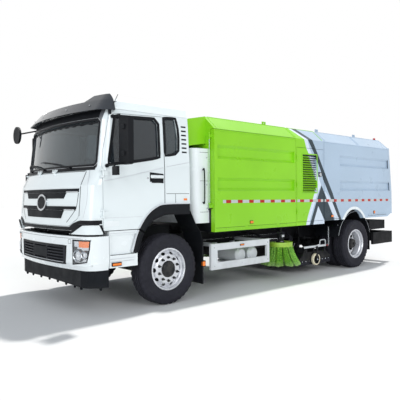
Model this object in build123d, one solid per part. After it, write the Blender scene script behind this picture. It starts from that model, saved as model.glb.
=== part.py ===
"""Two-axle washing and sweeping truck. Millimetres; X forward, Y left, Z up, the ground is z = 0."""

import os
from math import sqrt

from build123d import *

os.makedirs("parts", exist_ok=True)

# ---------------------------------------------------------------- driving dimensions
overall_length = 7950
front_overhang = 1400  # front axle to the bumper's face
tail_behind = overall_length - front_overhang  # front axle to the rear bumper's back
wheelbase = 5000
body_half_width = 1250
seam_gap = 6  # between a door or lid and its opening
seat_gap = 0.3  # between pieces that rest on each other
pin_play = 0.05  # radial, between a pin and its bore

# wheels
tyre_radius = 506
tyre_half_width = 138
bead_radius = 288
rim_half_width = 118
rim_wall = 12
wheel_plane_y = 1070  # mid-plane of a front tyre and of an outer rear tyre
twin_spacing = 340
disc_thickness = 14
hub_radius = 120
drum_radius = 205
stub_radius = 45

# chassis
rail_outer_y = 430
rail_flange = 80
rail_web = 10
rail_bottom_z = 660
rail_height = 270
rail_front_ahead = 1000
rail_back_behind = tail_behind - 390
bracket_plate = 20
arm_thickness = 30
arm_side_gap = 6
kingpin_y = 900
kingpin_radius = 25

# cab
cab_wall = 60
cab_bottom_z = 1110
cab_behind_axle = 390
tilt_axis_ahead = 1200
tilt_axis_z = 700
tilt_pin_radius = 25
glass_thickness = 6
glass_setback = 22
bumper_bottom_z = 600
bumper_top_z = 1040
bumper_wall = 50
ear_thickness = 35
ear_bottom_z = 1066
ear_top_z = 1200
dashboard_half_width = 1015  # clear of the doors' front corners as they swing
hatch_thickness = 26
hatch_recess = 45
step_bottom_z = 620

# equipment body and hopper
body_front_behind = 845
door_split_behind = 2870
body_back_behind = 3755
hopper_front_behind = 3765
hopper_back_behind = tail_behind - 190
body_bottom_z = 990
body_fold_z = 2585
roof_z = 2795
roof_half_width = 1020
body_wall = 80
panel_recess = 42
hopper_floor_z = 1250
tip_axis_behind = tail_behind - 330
tip_axis_z = 950
tip_pin_radius = 25

# sweeping gear
bristle_radius = 370
brush_ring_radius = 225
bristle_bottom_z = 260
nozzle_bottom_z = 170
caster_radius = 118

# ---------------------------------------------------------------- shared places
front_axle_x = overall_length / 2 - front_overhang
rail_top_z = rail_bottom_z + rail_height
left_and_right = (("left", 1), ("right", -1))


def behind(distance):
    """The x of a place this far behind the front axle."""
    return front_axle_x - distance


def ahead(distance):
    """The x of a place this far ahead of the front axle."""
    return front_axle_x + distance


rear_axle_x = behind(wheelbase)
tip_axis_x = behind(tip_axis_behind)
tilt_axis_x = ahead(tilt_axis_ahead)


# ---------------------------------------------------------------- helpers
def box(x0, x1, y0, y1, z0, z1):
    """A block between two corners."""
    centre = ((x0 + x1) / 2, (y0 + y1) / 2, (z0 + z1) / 2)
    return Pos(*centre) * Box(abs(x1 - x0), abs(y1 - y0), abs(z1 - z0))


def outline(points):
    """A closed face from (a, b) corners, or (a, b, radius) where a corner is round."""
    corners = [point[:2] for point in points]
    radii = [point[2] if len(point) > 2 else 0 for point in points]
    return make_face(FilletPolyline(*corners, radius=radii, close=True))


def prism_y(points, y0, y1):
    """An (x, z) outline, from y0 to y1."""
    return Pos(0, max(y0, y1), 0) * extrude(Plane.XZ * outline(points), amount=abs(y1 - y0))


def prism_x(points, x0, x1):
    """A (y, z) outline, from x0 to x1."""
    return Pos(min(x0, x1), 0, 0) * extrude(Plane.YZ * outline(points), amount=abs(x1 - x0))


def prism_z(points, z0, z1):
    """An (x, y) outline, from z0 to z1."""
    return Pos(0, 0, z0) * extrude(outline(points), amount=z1 - z0)


def bar(start, end, radius):
    """A round bar between two points."""
    run = Vector(*end) - Vector(*start)
    return extrude(Plane(origin=start, z_dir=run) * Circle(radius), amount=run.length)


def turned(points, x, z):
    """A (radius, y) outline turned about the Y direction through (x, z)."""
    return Pos(x, 0, z) * revolve(outline(points), Axis.Y)


def upright(points, x, y):
    """A (radius, z) outline turned about the vertical through (x, y)."""
    return Pos(x, y, 0) * revolve(Plane.XZ * outline(points), Axis.Z)


def other_side(shape):
    """The same piece on the other side of the vehicle."""
    return mirror(shape, about=Plane.XZ)


def joined(shapes):
    """One solid from pieces that meet."""
    first, *rest = shapes
    for shape in rest:
        first = first + shape
    return first


def save(name, *shapes):
    """Write one node, made of the solids of the shapes."""
    solids = [solid for shape in shapes for solid in shape.solids()]
    export_step(solids[0] if len(solids) == 1 else Compound(children=solids), f"parts/{name}.step")


def save_pair(name, left_shape):
    """Write a left-hand piece and its mirror image as two nodes."""
    save(f"{name}_left", left_shape)
    save(f"{name}_right", other_side(left_shape))


def plan_face(z, front_x, back_x, half_width, front_radius, corner_radius):
    """A level outline with straight back and sides, a bowed front and round front corners."""
    bow_x = front_x - front_radius
    reach = front_radius - corner_radius
    corner_y = half_width - corner_radius
    corner_x = bow_x + sqrt(reach**2 - corner_y**2)
    meet_x = bow_x + (corner_x - bow_x) * front_radius / reach
    meet_y = corner_y * front_radius / reach
    turn = Vector((corner_x - bow_x) / reach, 1 + corner_y / reach).normalized() * corner_radius
    edges = [
        Line((back_x, half_width), (back_x, -half_width)),
        Line((back_x, -half_width), (corner_x, -half_width)),
        ThreePointArc((corner_x, -half_width), (corner_x + turn.X, -corner_y - turn.Y), (meet_x, -meet_y)),
        ThreePointArc((meet_x, -meet_y), (front_x, 0), (meet_x, meet_y)),
        ThreePointArc((meet_x, meet_y), (corner_x + turn.X, corner_y + turn.Y), (corner_x, half_width)),
        Line((corner_x, half_width), (back_x, half_width)),
    ]
    return Pos(0, 0, z) * make_face(edges)


def stacked(levels, back_x, inset=0):
    """A solid through plan outlines. Each level: z, front x, half width, front radius, corner radius."""
    faces = [plan_face(z, front_x - inset, back_x + inset, half_width - inset,
                       front_radius - inset, corner_radius - inset)
             for z, front_x, half_width, front_radius, corner_radius in levels]
    return loft(faces, ruled=True)


# ---------------------------------------------------------------- chassis frame
def frame_rails():
    """One channel rail with the brackets and pins that carry the cab in front and the hopper behind."""
    x0, x1 = behind(rail_back_behind), ahead(rail_front_ahead)
    inner_y = rail_outer_y - rail_flange
    rail = box(x0, x1, inner_y, rail_outer_y, rail_bottom_z, rail_top_z)
    rail -= box(x0, x1, inner_y, rail_outer_y - rail_web, rail_bottom_z + rail_web, rail_top_z - rail_web)
    plate_y = rail_outer_y + bracket_plate
    rail += prism_y([(x1 - 150, rail_bottom_z), (tilt_axis_x + 42, tilt_axis_z - 42, 40),
                     (tilt_axis_x + 42, tilt_axis_z + 42, 40), (x1, rail_top_z), (x1 - 150, rail_top_z)],
                    rail_outer_y, plate_y)
    rail += prism_y([(x0 + 150, rail_bottom_z + 120), (x0 + 150, rail_top_z),
                     (tip_axis_x + 42, tip_axis_z + 42, 40),
                     (tip_axis_x - 42, tip_axis_z + 42, 40), (tip_axis_x - 42, tip_axis_z - 42, 40)],
                    rail_outer_y, plate_y)
    pin_end_y = plate_y + arm_side_gap + arm_thickness + 4
    rail += bar((tilt_axis_x, rail_outer_y, tilt_axis_z), (tilt_axis_x, pin_end_y, tilt_axis_z),
                tilt_pin_radius)
    rail += bar((tip_axis_x, rail_outer_y, tip_axis_z), (tip_axis_x, pin_end_y, tip_axis_z), tip_pin_radius)
    return rail


def cross_members():
    """Tubes between the webs, and the pin that carries the lift cylinder."""
    web_y = rail_outer_y - rail_web
    tube_radius = 45
    middle_z = rail_bottom_z + rail_height / 2
    tubes = []
    for distance in (-960, 600, 1750, 2800, 3500, 5700):
        x = behind(distance)
        tubes.append(bar((x, -web_y, middle_z), (x, web_y, middle_z), tube_radius))
    tubes.append(bar((lift_foot_x, -web_y, lift_foot_z), (lift_foot_x, web_y, lift_foot_z), lift_pin_radius))
    lug = box(ahead(960), ahead(1140), -60, 60, tow_eye_z - 25, tow_eye_z + 25)
    lug += box(ahead(935), ahead(985), -60, 60, tow_eye_z - 25, middle_z)
    lug -= bar((tow_eye_front_x, 0, tow_eye_z - 30), (tow_eye_front_x, 0, tow_eye_z + 30), tow_eye_radius)
    tubes[0] += lug
    return tubes


lift_foot_x = behind(3700)
lift_foot_z = 720
lift_pin_radius = 22
lift_eye_x = behind(4980)
lift_eye_z = 1120
tow_eye_z = 560
tow_eye_radius = 20
tow_eye_front_x = ahead(1100)
tow_eye_back_x = behind(tail_behind - 35)


def leaf_spring(axle_x, half_span, seat_z):
    """A bowed pack of leaves under a rail, with its two hangers."""
    pack = 56
    end_z = rail_bottom_z - 8
    leaf = prism_y([(axle_x - half_span, end_z), (axle_x, seat_z + pack), (axle_x + half_span, end_z),
                    (axle_x + half_span, end_z - 26), (axle_x + half_span / 2, seat_z + 8),
                    (axle_x, seat_z), (axle_x - half_span / 2, seat_z + 8), (axle_x - half_span, end_z - 26)],
                   rail_outer_y - 75, rail_outer_y - 5)
    for end in (-1, 1):
        x = axle_x + end * half_span
        leaf += box(x - 30, x + 30, rail_outer_y - 80, rail_outer_y, end_z - 40, rail_bottom_z)
    return leaf


def front_axle():
    """The dropped beam with its kingpins and springs."""
    z = tyre_radius
    boss_half = 40
    drop_z = z - boss_half - 75
    seat_z = z + boss_half - 25
    left_half = [(kingpin_y, z + boss_half), (kingpin_y, z - boss_half), (790, z - boss_half), (600, drop_z)]
    right_half = [(-y, h) for y, h in reversed(left_half)]
    beam = prism_x([(640, seat_z), (790, z + boss_half), *left_half, *right_half, (-790, z + boss_half),
                    (-640, seat_z)], front_axle_x - 50, front_axle_x + 50)
    for _, s in left_and_right:
        pin_y = s * kingpin_y
        beam += bar((front_axle_x, pin_y, z - boss_half), (front_axle_x, pin_y, z + boss_half), 48)
        beam += bar((front_axle_x, pin_y, z - 110), (front_axle_x, pin_y, z + 110), kingpin_radius)
    spring = leaf_spring(front_axle_x, 700, seat_z - 4)
    return joined([beam, spring, other_side(spring)])


def rear_axle():
    """The tube with the differential, springs and stub ends."""
    z = tyre_radius
    stub_y = wheel_plane_y - 40
    stub = bar((rear_axle_x, -stub_y, z), (rear_axle_x, stub_y, z), stub_radius)
    tube_y = wheel_plane_y - twin_spacing - rim_half_width - 6
    tube = bar((rear_axle_x, -tube_y, z), (rear_axle_x, tube_y, z), 80)
    differential = turned([(0, -150), (150, -150), (210, -60), (210, 60), (150, 150), (0, 150)],
                          rear_axle_x, z)
    nose = bar((rear_axle_x, 0, z), (rear_axle_x + 330, 0, z), 90)
    spring = leaf_spring(rear_axle_x, 760, z + 70)
    return joined([stub, tube, differential, nose, spring, other_side(spring)])


def drive_units():
    """The motor with its propeller shaft, the battery on the right and the power case under the cab."""
    motor = box(behind(2560), behind(1850), -260, 260, 440, 640)
    shaft = bar((behind(2560), 0, 560), (rear_axle_x + 330 + 1.5, 0, tyre_radius), 38)
    for _, s in left_and_right:
        motor += box(behind(2300), behind(2100), s * 260, s * (rail_outer_y - rail_web), 600, rail_bottom_z)
    battery = box(behind(2080), behind(980), -1080, -500, 430, 730)
    for x in (behind(1250), behind(1850)):
        battery += box(x - 40, x + 40, -500, -rail_outer_y, 690, 730)
    half = rail_outer_y - rail_web
    power_case = box(behind(600), ahead(600), -half, half, rail_top_z + seat_gap, cab_bottom_z - 30)
    return motor + shaft, battery, power_case


def air_tanks():
    """Two cross-wise air tanks on a tray, on the left."""
    tray = box(behind(2080), behind(1480), 500, 1060, 420, 432)
    for x in (behind(1560), behind(2000)):
        tray += box(x - 25, x + 25, rail_outer_y, 512, 420, 730)
    tanks = []
    for x in (behind(1635), behind(1930)):
        tank = turned([(0, 530), (90, 535), (124, 570), (124, 1020), (90, 1055), (0, 1060)], x, 432 + 124)
        tanks.append(tank)
    return joined([tray, *tanks])


def side_guard():
    """A pressed frame with a long window, hung on two arms."""
    front_x, back_x = behind(795), behind(2160)
    guard = box(back_x, front_x, 1170, 1215, 402, 803)
    guard -= box(back_x + 60, front_x - 135, 1100, 1300, 512, 700)
    for x in (behind(1000), behind(2115)):
        guard += box(x - 30, x + 30, rail_outer_y, 1170, 740, 795)
    return guard


# ---------------------------------------------------------------- wheels
def tyre(plane_y):
    """A plain tyre on the mid-plane."""
    half = [(bead_radius, 105), (402, tyre_half_width), (480, 124), (tyre_radius, 96)]
    section = [(r, plane_y - y) for r, y in half] + [(r, plane_y + y) for r, y in reversed(half)]
    return turned(section, 0, 0)


def rim(plane_y, disc_y, hub_end_y):
    """A rim whose disc stands at disc_y, outside the mid-plane or inside it."""
    seat = bead_radius - seat_gap
    inner = seat - rim_wall
    out = 1 if disc_y > plane_y else -1
    barrel = turned([(seat, plane_y - 108.5), (298, plane_y - 108.5), (298, plane_y - rim_half_width),
                     (inner, plane_y - rim_half_width), (inner, plane_y + rim_half_width),
                     (298, plane_y + rim_half_width), (298, plane_y + 108.5), (seat, plane_y + 108.5)], 0, 0)
    dish = turned([(inner + 2, plane_y + out * 60), (250, disc_y - out * 22), (215, disc_y),
                   (stub_radius + pin_play, disc_y), (stub_radius + pin_play, disc_y - out * disc_thickness),
                   (215, disc_y - out * disc_thickness), (240, disc_y - out * 38), (inner + 2, plane_y + out * 40)],
                  0, 0)
    hub = turned([(stub_radius + pin_play, disc_y), (hub_radius, disc_y), (hub_radius - 10, hub_end_y),
                  (stub_radius + pin_play, hub_end_y)], 0, 0)
    return joined([barrel, dish, hub])


def at_axle(shape, axle_x):
    """A wheel part modelled about the origin, moved to its axle."""
    return Pos(axle_x, 0, tyre_radius) * shape


def front_rim():
    disc_y = wheel_plane_y + 96
    return rim(wheel_plane_y, disc_y, disc_y + 34)


def rear_rims():
    """Twin rims bolted back to back on one hub with its drum."""
    mating_y = wheel_plane_y - twin_spacing / 2
    outer = rim(wheel_plane_y, mating_y, wheel_plane_y + 60)
    inner = rim(wheel_plane_y - twin_spacing, mating_y, mating_y - 40)
    drum = turned([(stub_radius + pin_play, mating_y - 40), (drum_radius, mating_y - 40),
                   (drum_radius, mating_y - 230), (drum_radius - 40, mating_y - 230),
                   (drum_radius - 40, mating_y - 70), (stub_radius + pin_play, mating_y - 70)], 0, 0)
    return joined([outer, inner, drum])


def knuckle():
    """The fork on the kingpin with the wheel's spindle and brake drum."""
    z, x = tyre_radius, front_axle_x
    web_y = kingpin_y + 55
    fork = box(x - 60, x + 60, kingpin_y - 60, web_y + 10, z - 105, z - 45)
    fork += box(x - 60, x + 60, kingpin_y - 60, web_y + 10, z + 45, z + 105)
    fork += box(x - 60, x + 60, web_y, web_y + 25, z - 105, z + 105)
    fork -= bar((x, kingpin_y, z - 200), (x, kingpin_y, z + 200), kingpin_radius + pin_play)
    drum = bar((x, web_y + 20, z), (x, wheel_plane_y + 60, z), drum_radius)
    spindle = bar((x, web_y + 10, z), (x, wheel_plane_y + 110, z), stub_radius)
    return joined([fork, drum, spindle])


# ---------------------------------------------------------------- cab
# z, front ahead of the axle, half width, front radius, corner radius
cab_levels = (
    (cab_bottom_z, 1380, 1198, 5200, 200),
    (1500, 1350, 1200, 5200, 200),
    (1700, 1335, 1200, 5200, 195),
    (1950, 1255, 1200, 3700, 165),
    (2560, 1185, 1165, 3700, 150),
    (2700, 1130, 1150, 3700, 150),
    (2820, 1020, 1105, 3700, 150),
    (2900, 820, 1000, 3700, 150),
)
bumper_levels = (
    (bumper_bottom_z, 1365, 1180, 5200, 215),
    (690, front_overhang, 1204, 5200, 215),
    (ear_top_z, front_overhang, 1204, 5200, 215),
)
hatch_half_width = 945
hatch_top_z = 1893
hatch_bottom_z = 1168
windscreen_bottom_z = 1965
windscreen_top_z = 2555


def cab_body(inset=0, levels=cab_levels):
    placed = [(z, ahead(front), half, front_r, corner_r) for z, front, half, front_r, corner_r in levels]
    return stacked(placed, behind(cab_behind_axle), inset)


def cab_core(inset):
    """The cab's inside reaching below its floor, so that only its walls lie outside."""
    low, *rest = cab_levels
    top = (cab_levels[-1][0] - inset, *cab_levels[-1][1:])
    return cab_body(inset, ((low[0] - 400, *low[1:]), low, *rest[:-1], top))


def cab_arch(grow=0):
    """What the front wheels' arches take out of the cab, across its whole width."""
    return prism_y([(ahead(620) + grow, 700), (ahead(385) + grow, 1285 + grow / 2, 150),
                    (ahead(150) + grow / 2, 1432 + grow, 200), (behind(900), 1432 + grow), (behind(900), 700)],
                   -1400, 1400)


def door_outline(grow=0):
    front_x, back_x = ahead(1060) + grow, ahead(80) - grow
    return [(front_x, 1000), (front_x, 1800), (ahead(1028) + grow, 2150),
            (ahead(930) + grow, 2640 + grow, 20),
            (back_x, 2672 + grow, 20), (back_x, 1000)]


def door_window():
    return [(ahead(965), 1978, 30), (ahead(852), 2600, 30), (ahead(225), 2625, 40), (ahead(165), 2560, 30),
            (ahead(165), 2105, 40), (ahead(580), 2040, 200)]


def quarter_window():
    return [(ahead(45), 2655, 25), (behind(155), 2665, 35), (behind(190), 2400, 100), (behind(180), 2215, 40),
            (behind(120), 2165, 40), (ahead(40), 2135, 25)]


def windscreen_outline():
    side = 1085
    low, high = windscreen_bottom_z, windscreen_top_z
    return [(-side, low, 90), (side, low, 90), (side - 10, high, 50), (-side + 10, high, 50)]


def hatch_outline(grow=0):
    side = hatch_half_width + grow
    low, high = hatch_bottom_z - grow, hatch_top_z + grow
    return [(-side, high), (-side, low + 120, 60), (-side + 190, low, 150), (side - 190, low, 150),
            (side, low + 120, 60), (side, high)]


front_reach = (ahead(900), ahead(1500))
side_reach = (1000, 1400)


cab_body_full = cab_body()
cab_body_cut = cab_body_full - cab_arch()
cab_walls = cab_body_cut - cab_core(cab_wall)


def hinge(place, moving_reach, moving_depth, fixed_reach, fixed_depth, clear=4, size=1.0):
    """A knuckle for the moving side and a pin in two lugs for the fixed side.

    In the place's own frame the pin runs along Z, the moving side lies towards -X, the fixed side towards +X,
    and +Y points out of the surface. Each leaf reaches its depth below the pin."""
    pin_radius, barrel_radius, half = 7 * size, 13 * size, 30 * size
    knuckle_part = Cylinder(barrel_radius, 2 * half)
    knuckle_part += box(-moving_reach, 0, -barrel_radius + 3, 4, -half, half)
    knuckle_part += box(-moving_reach, -clear, -moving_depth, 4, -half, half)
    knuckle_part -= Cylinder(pin_radius + pin_play, 4 * half)
    pin_part = Cylinder(pin_radius, 2 * half + 50)
    for end in (-1, 1):
        low, high = sorted((end * (half + 2), end * (half + 25)))
        pin_part += Pos(0, 0, (low + high) / 2) * Cylinder(barrel_radius, high - low)
        pin_part += box(0, fixed_reach, -barrel_radius + 3, 4, low, high)
        pin_part += box(clear, fixed_reach, -fixed_depth, 4, low, high)
    return place.location * knuckle_part, place.location * pin_part


def upright_hinge(x, y, z):
    """The place of a hinge on a side wall, with its fixed side ahead."""
    return Plane(origin=(x, y, z), x_dir=(1, 0, 0), z_dir=(0, 0, 1))


cab_hinge_x = ahead(1064)
cab_hinge_y = 1215
cab_hinge_heights = (1330, 1850)
cab_hinges = [hinge(upright_hinge(cab_hinge_x, cab_hinge_y, z), 70, 20, 40, 32) for z in cab_hinge_heights]

hatch_hinge_x = ahead(1286)
hatch_hinge_z = hatch_top_z + seam_gap / 2
hatch_hinges = [hinge(Plane(origin=(hatch_hinge_x, y, hatch_hinge_z), x_dir=(0, 0, 1), z_dir=(0, 1, 0)),
                      50, 26, 34, 36, size=0.8) for y in (-250, 250)]


def cab_ears():
    """The bumper-coloured corners that hang below the cab's front corners."""
    (_, _, *low), (_, _, *top) = bumper_levels[1], bumper_levels[2]
    faces = [(z, ahead(front_overhang), *top) for z in (ear_bottom_z, ear_top_z)]
    longer = [(faces[0][0] - 5, *faces[0][1:]), (faces[1][0] + 5, *faces[1][1:])]
    skin = stacked(faces, ahead(985)) - stacked(longer, ahead(700), ear_thickness)
    skin &= prism_x([(800, ear_bottom_z), (1300, ear_bottom_z), (1300, ear_top_z), (975, ear_top_z)],
                    ahead(1072), ahead(1500))
    return skin - prism_x(hatch_outline(seam_gap), *front_reach)


def cab_tilt_arm():
    """The arm under the floor that turns on the tilt pin."""
    y0 = rail_outer_y + bracket_plate + arm_side_gap
    y1 = y0 + arm_thickness
    arm = prism_y([(tilt_axis_x + 44, tilt_axis_z - 44, 43), (tilt_axis_x + 44, tilt_axis_z + 36, 30),
                   (tilt_axis_x - 430, cab_bottom_z + 20), (tilt_axis_x - 580, cab_bottom_z + 20),
                   (tilt_axis_x - 50, tilt_axis_z - 44, 43)], y0, y1)
    return arm - bar((tilt_axis_x, y0 - 9, tilt_axis_z), (tilt_axis_x, y1 + 9, tilt_axis_z),
                     tilt_pin_radius + pin_play)


def cab_shell():
    """The hollow cab with its door, window and hatch openings."""
    inside = cab_core(cab_wall) - cab_arch(cab_wall)
    inside -= box(behind(900), ahead(1600), -1400, 1400, 0, cab_bottom_z + cab_wall)
    shell = cab_body_cut - inside
    opening = prism_y(door_outline(seam_gap), *side_reach) - cab_core(cab_wall + seam_gap)
    window = prism_y(quarter_window(), *side_reach)
    shell = shell - opening - other_side(opening) - window - other_side(window)
    shell -= prism_x(windscreen_outline(), *front_reach)
    shell -= prism_x(hatch_outline(seam_gap), *front_reach) - cab_body(hatch_recess)
    ears, arm = cab_ears(), cab_tilt_arm()
    shell = shell + ears + other_side(ears) + arm + other_side(arm)
    for _, pin_part in cab_hinges:
        shell = shell + pin_part + other_side(pin_part)
    for _, pin_part in hatch_hinges:
        shell = shell + pin_part
    return shell


def cab_door():
    """The left door: a full-depth slab with its window cut and its hinge knuckles."""
    door = cab_walls & prism_y(door_outline(), *side_reach)
    door -= prism_y(door_window(), *side_reach)
    return joined([door, *[knuckle_part for knuckle_part, _ in cab_hinges]])


def glass(window):
    """A pane that fills a window, set back in the wall."""
    return (cab_body(glass_setback) - cab_core(glass_setback + glass_thickness)) & window


def front_hatch():
    panel = (cab_body_full - cab_core(hatch_thickness)) & prism_x(hatch_outline(), *front_reach)
    return joined([panel, *[knuckle_part for knuckle_part, _ in hatch_hinges]])


# z of the bottom and top, and the half width at each, of the black grilles on the hatch
hatch_grille_rows = (
    (1611, 925, 1659, 930),
    (1530, 600, 1609, 655),
    (1375, 880, 1427, 885),
    (1265, 560, 1373, 620),
)


def hatch_grilles():
    """Thin slatted grilles standing on the hatch."""
    levels = [(z, ahead(front), *rest) for z, front, *rest in cab_levels]
    skin = stacked(levels, behind(cab_behind_axle), -8) - cab_body_full
    grilles = []
    for low, low_half, high, high_half in hatch_grille_rows:
        face = [(-low_half, low), (low_half, low), (high_half, high), (-high_half, high)]
        grilles.append(skin & prism_x(face, *front_reach))
    return grilles


# z, front ahead of the axle, half width, front radius, corner radius
visor_levels = (
    (2680, 1250, 1190, 3700, 190),
    (2830, 1120, 1150, 3700, 190),
    (2920, 1030, 1120, 3700, 190),
)


def sun_visor():
    """The dark shade over the windscreen, with raised ends, on four brackets."""
    levels = [(z, ahead(front), *rest) for z, front, *rest in visor_levels]
    longer = [(levels[0][0] - 5, *levels[0][1:]), levels[1], (levels[2][0] + 5, *levels[2][1:])]
    shade = stacked(levels, ahead(500)) - stacked(longer, ahead(300), 22)
    shade &= prism_x([(-1300, 2600), (1300, 2600), (1300, 2925), (790, 2925), (700, 2834), (-700, 2834),
                      (-790, 2925), (-1300, 2925)], ahead(860), ahead(1400))
    clear_of_cab = cab_body(-seat_gap)
    for y, reach in ((-900, 1075), (-400, 1160), (400, 1160), (900, 1075)):
        shade += box(ahead(900), ahead(reach), y - 15, y + 15, 2735, 2755) - clear_of_cab
    return shade


def seat(middle_y):
    floor_z = 1492 + seat_gap
    return prism_y([(ahead(100), floor_z), (ahead(100), 1640), (ahead(300), 1640), (ahead(310), 1760, 40),
                    (behind(90), 1740), (behind(180), 2400, 45), (behind(300), 2400, 45), (behind(230), 1640),
                    (behind(200), 1640), (behind(200), floor_z)], middle_y - 250, middle_y + 250)


def dashboard():
    """The dashboard with the steering wheel, driver's side on the left."""
    board = prism_y([(ahead(900), 1480), (ahead(860), 1830, 30), (ahead(1000), 1945), (ahead(1300), 1945),
                     (ahead(1300), 1330), (ahead(1020), 1380)], -dashboard_half_width, dashboard_half_width)
    board &= cab_body(cab_wall + seat_gap)
    wheel_place = Plane(origin=(ahead(700), 480, 1965), z_dir=(-0.5, 0, 0.87))
    steering = wheel_place.location * (Torus(225, 15) + Cylinder(50, 40) + Box(440, 24, 16))
    column = bar((ahead(710), 480, 1950), (ahead(930), 480, 1620), 28)
    return joined([board, steering, column])


def door_mirror():
    """The left mirrors on their arms, which stand on the door's window frame."""
    head = box(ahead(800), ahead(880), 1300, 1520, 1960, 2570)
    head = fillet(head.edges().filter_by(Axis.X), 40)
    upper = bar((ahead(895), 1161 + seat_gap, 2600), (ahead(895), 1345, 2600), 12)
    upper += bar((ahead(895), 1333, 2600), (ahead(855), 1333, 2545), 12)
    lower = bar((ahead(1005), 1199 + seat_gap, 1950), (ahead(1005), 1400, 1950), 12)
    lower += bar((ahead(1005), 1388, 1950), (ahead(845), 1388, 1985), 12)
    small = box(ahead(985), ahead(1020), 1355, 1475, 1820, 1932)
    return joined([head, upper, lower, small, bar((ahead(1005), 1388, 1900), (ahead(1005), 1388, 1950), 12)])


def front_mirror():
    """The round mirror on a cranked arm at the right front corner of the roof."""
    y = -1350
    disc = bar((ahead(1185), y, 2580), (ahead(1215), y, 2580), 140)
    foot_y = -1148.2
    arm = bar((ahead(905), foot_y, 2664), (ahead(905), foot_y - 42, 2664), 12)
    arm += bar((ahead(905), foot_y - 30, 2664), (ahead(1175), y, 2600), 12)
    arm += bar((ahead(1170), y, 2600), (ahead(1190), y, 2590), 12)
    return disc + arm


# ---------------------------------------------------------------- front end
headlamp_y = (860, 1160)
headlamp_z = (665, 1000)
grille_outline_points = [(-715, 665), (715, 665), (740, 915), (-740, 915)]
spray_bar_z = (370, 588)
spray_nozzle_tip_z = 335

# x ahead of the axle and y of the spray bar's outer face, then of its inner face, middle to left end
spray_bar_plan = (
    (1215, 0, 1175, 0),
    (1235, 700, 1195, 690),
    (1250, 930, 1205, 905),
    (1215, 1060, 1180, 1020),
    (1150, 1110, 1125, 1072),
    (985, 1190, 970, 1148),
)

# x ahead of the axle and y of the spray nozzles on the left half
spray_nozzle_places = ((1199, 140), (1206, 420), (1216, 700), (1227, 900), (1068, 1128))


def bumper_skin(thickness, top_z):
    levels = [(z, ahead(front), *rest) for z, front, *rest in bumper_levels]
    longer = [(levels[0][0] - 5, *levels[0][1:]), levels[1], (levels[2][0] + 5, *levels[2][1:])]
    skin = stacked(levels, ahead(985)) - stacked(longer, ahead(600), thickness)
    return skin & box(ahead(700), ahead(1500), -1400, 1400, bumper_bottom_z, top_z)


def front_bumper():
    """The shell, open for the grille and headlamps, on two brackets from the rails."""
    shell = bumper_skin(bumper_wall, bumper_top_z)
    shell -= prism_x(grille_outline_points, ahead(1200), ahead(1500))
    for _, s in left_and_right:
        y0, y1 = sorted(s * y for y in headlamp_y)
        shell -= box(ahead(1100), ahead(1500), y0, y1, *headlamp_z)
        y0, y1 = sorted((s * (rail_outer_y - rail_flange + 5), s * (rail_outer_y - 5)))
        shell += box(ahead(rail_front_ahead), ahead(1345), y0, y1, 930, 980)
        shell += box(ahead(rail_front_ahead), ahead(rail_front_ahead) + 20, y0, y1, 860, 980)
    return shell


def bumper_grille():
    """A slatted insert that fills the bumper's middle opening."""
    panel = bumper_skin(bumper_wall, bumper_top_z) & prism_x(grille_outline_points, ahead(1200), ahead(1500))
    for z in range(700, 900, 40):
        for y0, y1 in ((-660, -240), (-200, 200), (240, 660)):
            panel -= box(ahead(1200), ahead(1500), y0, y1, z, z + 22)
    return panel


def headlamp():
    y0, y1 = headlamp_y
    opening = box(ahead(1100), ahead(1500), y0 + seat_gap, y1 - seat_gap,
                  headlamp_z[0] + seat_gap, headlamp_z[1] - seat_gap)
    return bumper_skin(bumper_wall, bumper_top_z) & opening


def spray_bar():
    """The deep bent valance under the bumper with its downward nozzles and its hangers."""
    outer = [(ahead(x), y) for x, y, _, _ in spray_bar_plan]
    inner = [(ahead(x), y) for _, _, x, y in spray_bar_plan]
    right_outer = [(x, -y) for x, y in outer[1:]]
    right_inner = [(x, -y) for x, y in inner[1:]]
    low, high = spray_bar_z
    beam = prism_z(outer[::-1] + right_outer + right_inner[::-1] + inner, low, high)
    nozzle = [(0, spray_nozzle_tip_z), (10, spray_nozzle_tip_z), (17, spray_nozzle_tip_z + 15), (17, low + 1),
              (0, low + 1)]
    for _, s in left_and_right:
        for x, y in spray_nozzle_places:
            beam += upright(nozzle, ahead(x), s * y)
        y0, y1 = sorted((s * 375, s * 410))
        beam += prism_y([(ahead(955), rail_bottom_z), (ahead(rail_front_ahead), rail_bottom_z),
                         (ahead(1200), high - 20), (ahead(1200), low + 100), (ahead(1145), low + 100),
                         (ahead(1145), high - 50), (ahead(955), rail_bottom_z - 60)], y0, y1)
    return beam


step_recess = 25


def cab_step():
    """The left boarding step: an outer skin ahead of two treads, hung from the rail."""
    front_x, back_x = ahead(975), ahead(545)
    top_z = cab_bottom_z - 10
    skin_y = 1150
    skin = box(back_x, front_x, skin_y, 1200, step_bottom_z, top_z)
    skin -= box(back_x - 10, front_x - 12, skin_y + step_recess, 1300, 790, 1050)
    well = box(ahead(620), front_x, 760, skin_y, step_bottom_z, top_z)
    well -= box(ahead(640), front_x - 20, 860, 1300, 770, top_z + 10)
    well -= box(ahead(640), front_x - 20, 780, 1140, step_bottom_z - 10, 740)
    arm = box(ahead(720), ahead(840), rail_outer_y, 761, 700, 760)
    return joined([skin, well, arm])


flap_bottom_z = 210


def front_mudguard():
    """The sheet behind a front wheel, with its flap, on a rod from the rail."""
    sheet = prism_y([(behind(396), 1330), (behind(506), 1122), (behind(600), 1000), (behind(640), 850),
                     (behind(640), flap_bottom_z), (behind(648), flap_bottom_z), (behind(648), 852),
                     (behind(608), 1004),
                     (behind(513), 1126), (behind(404), 1334)], 760, 1190)
    return sheet + bar((behind(644), rail_outer_y, 800), (behind(644), 765, 800), 14)


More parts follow.
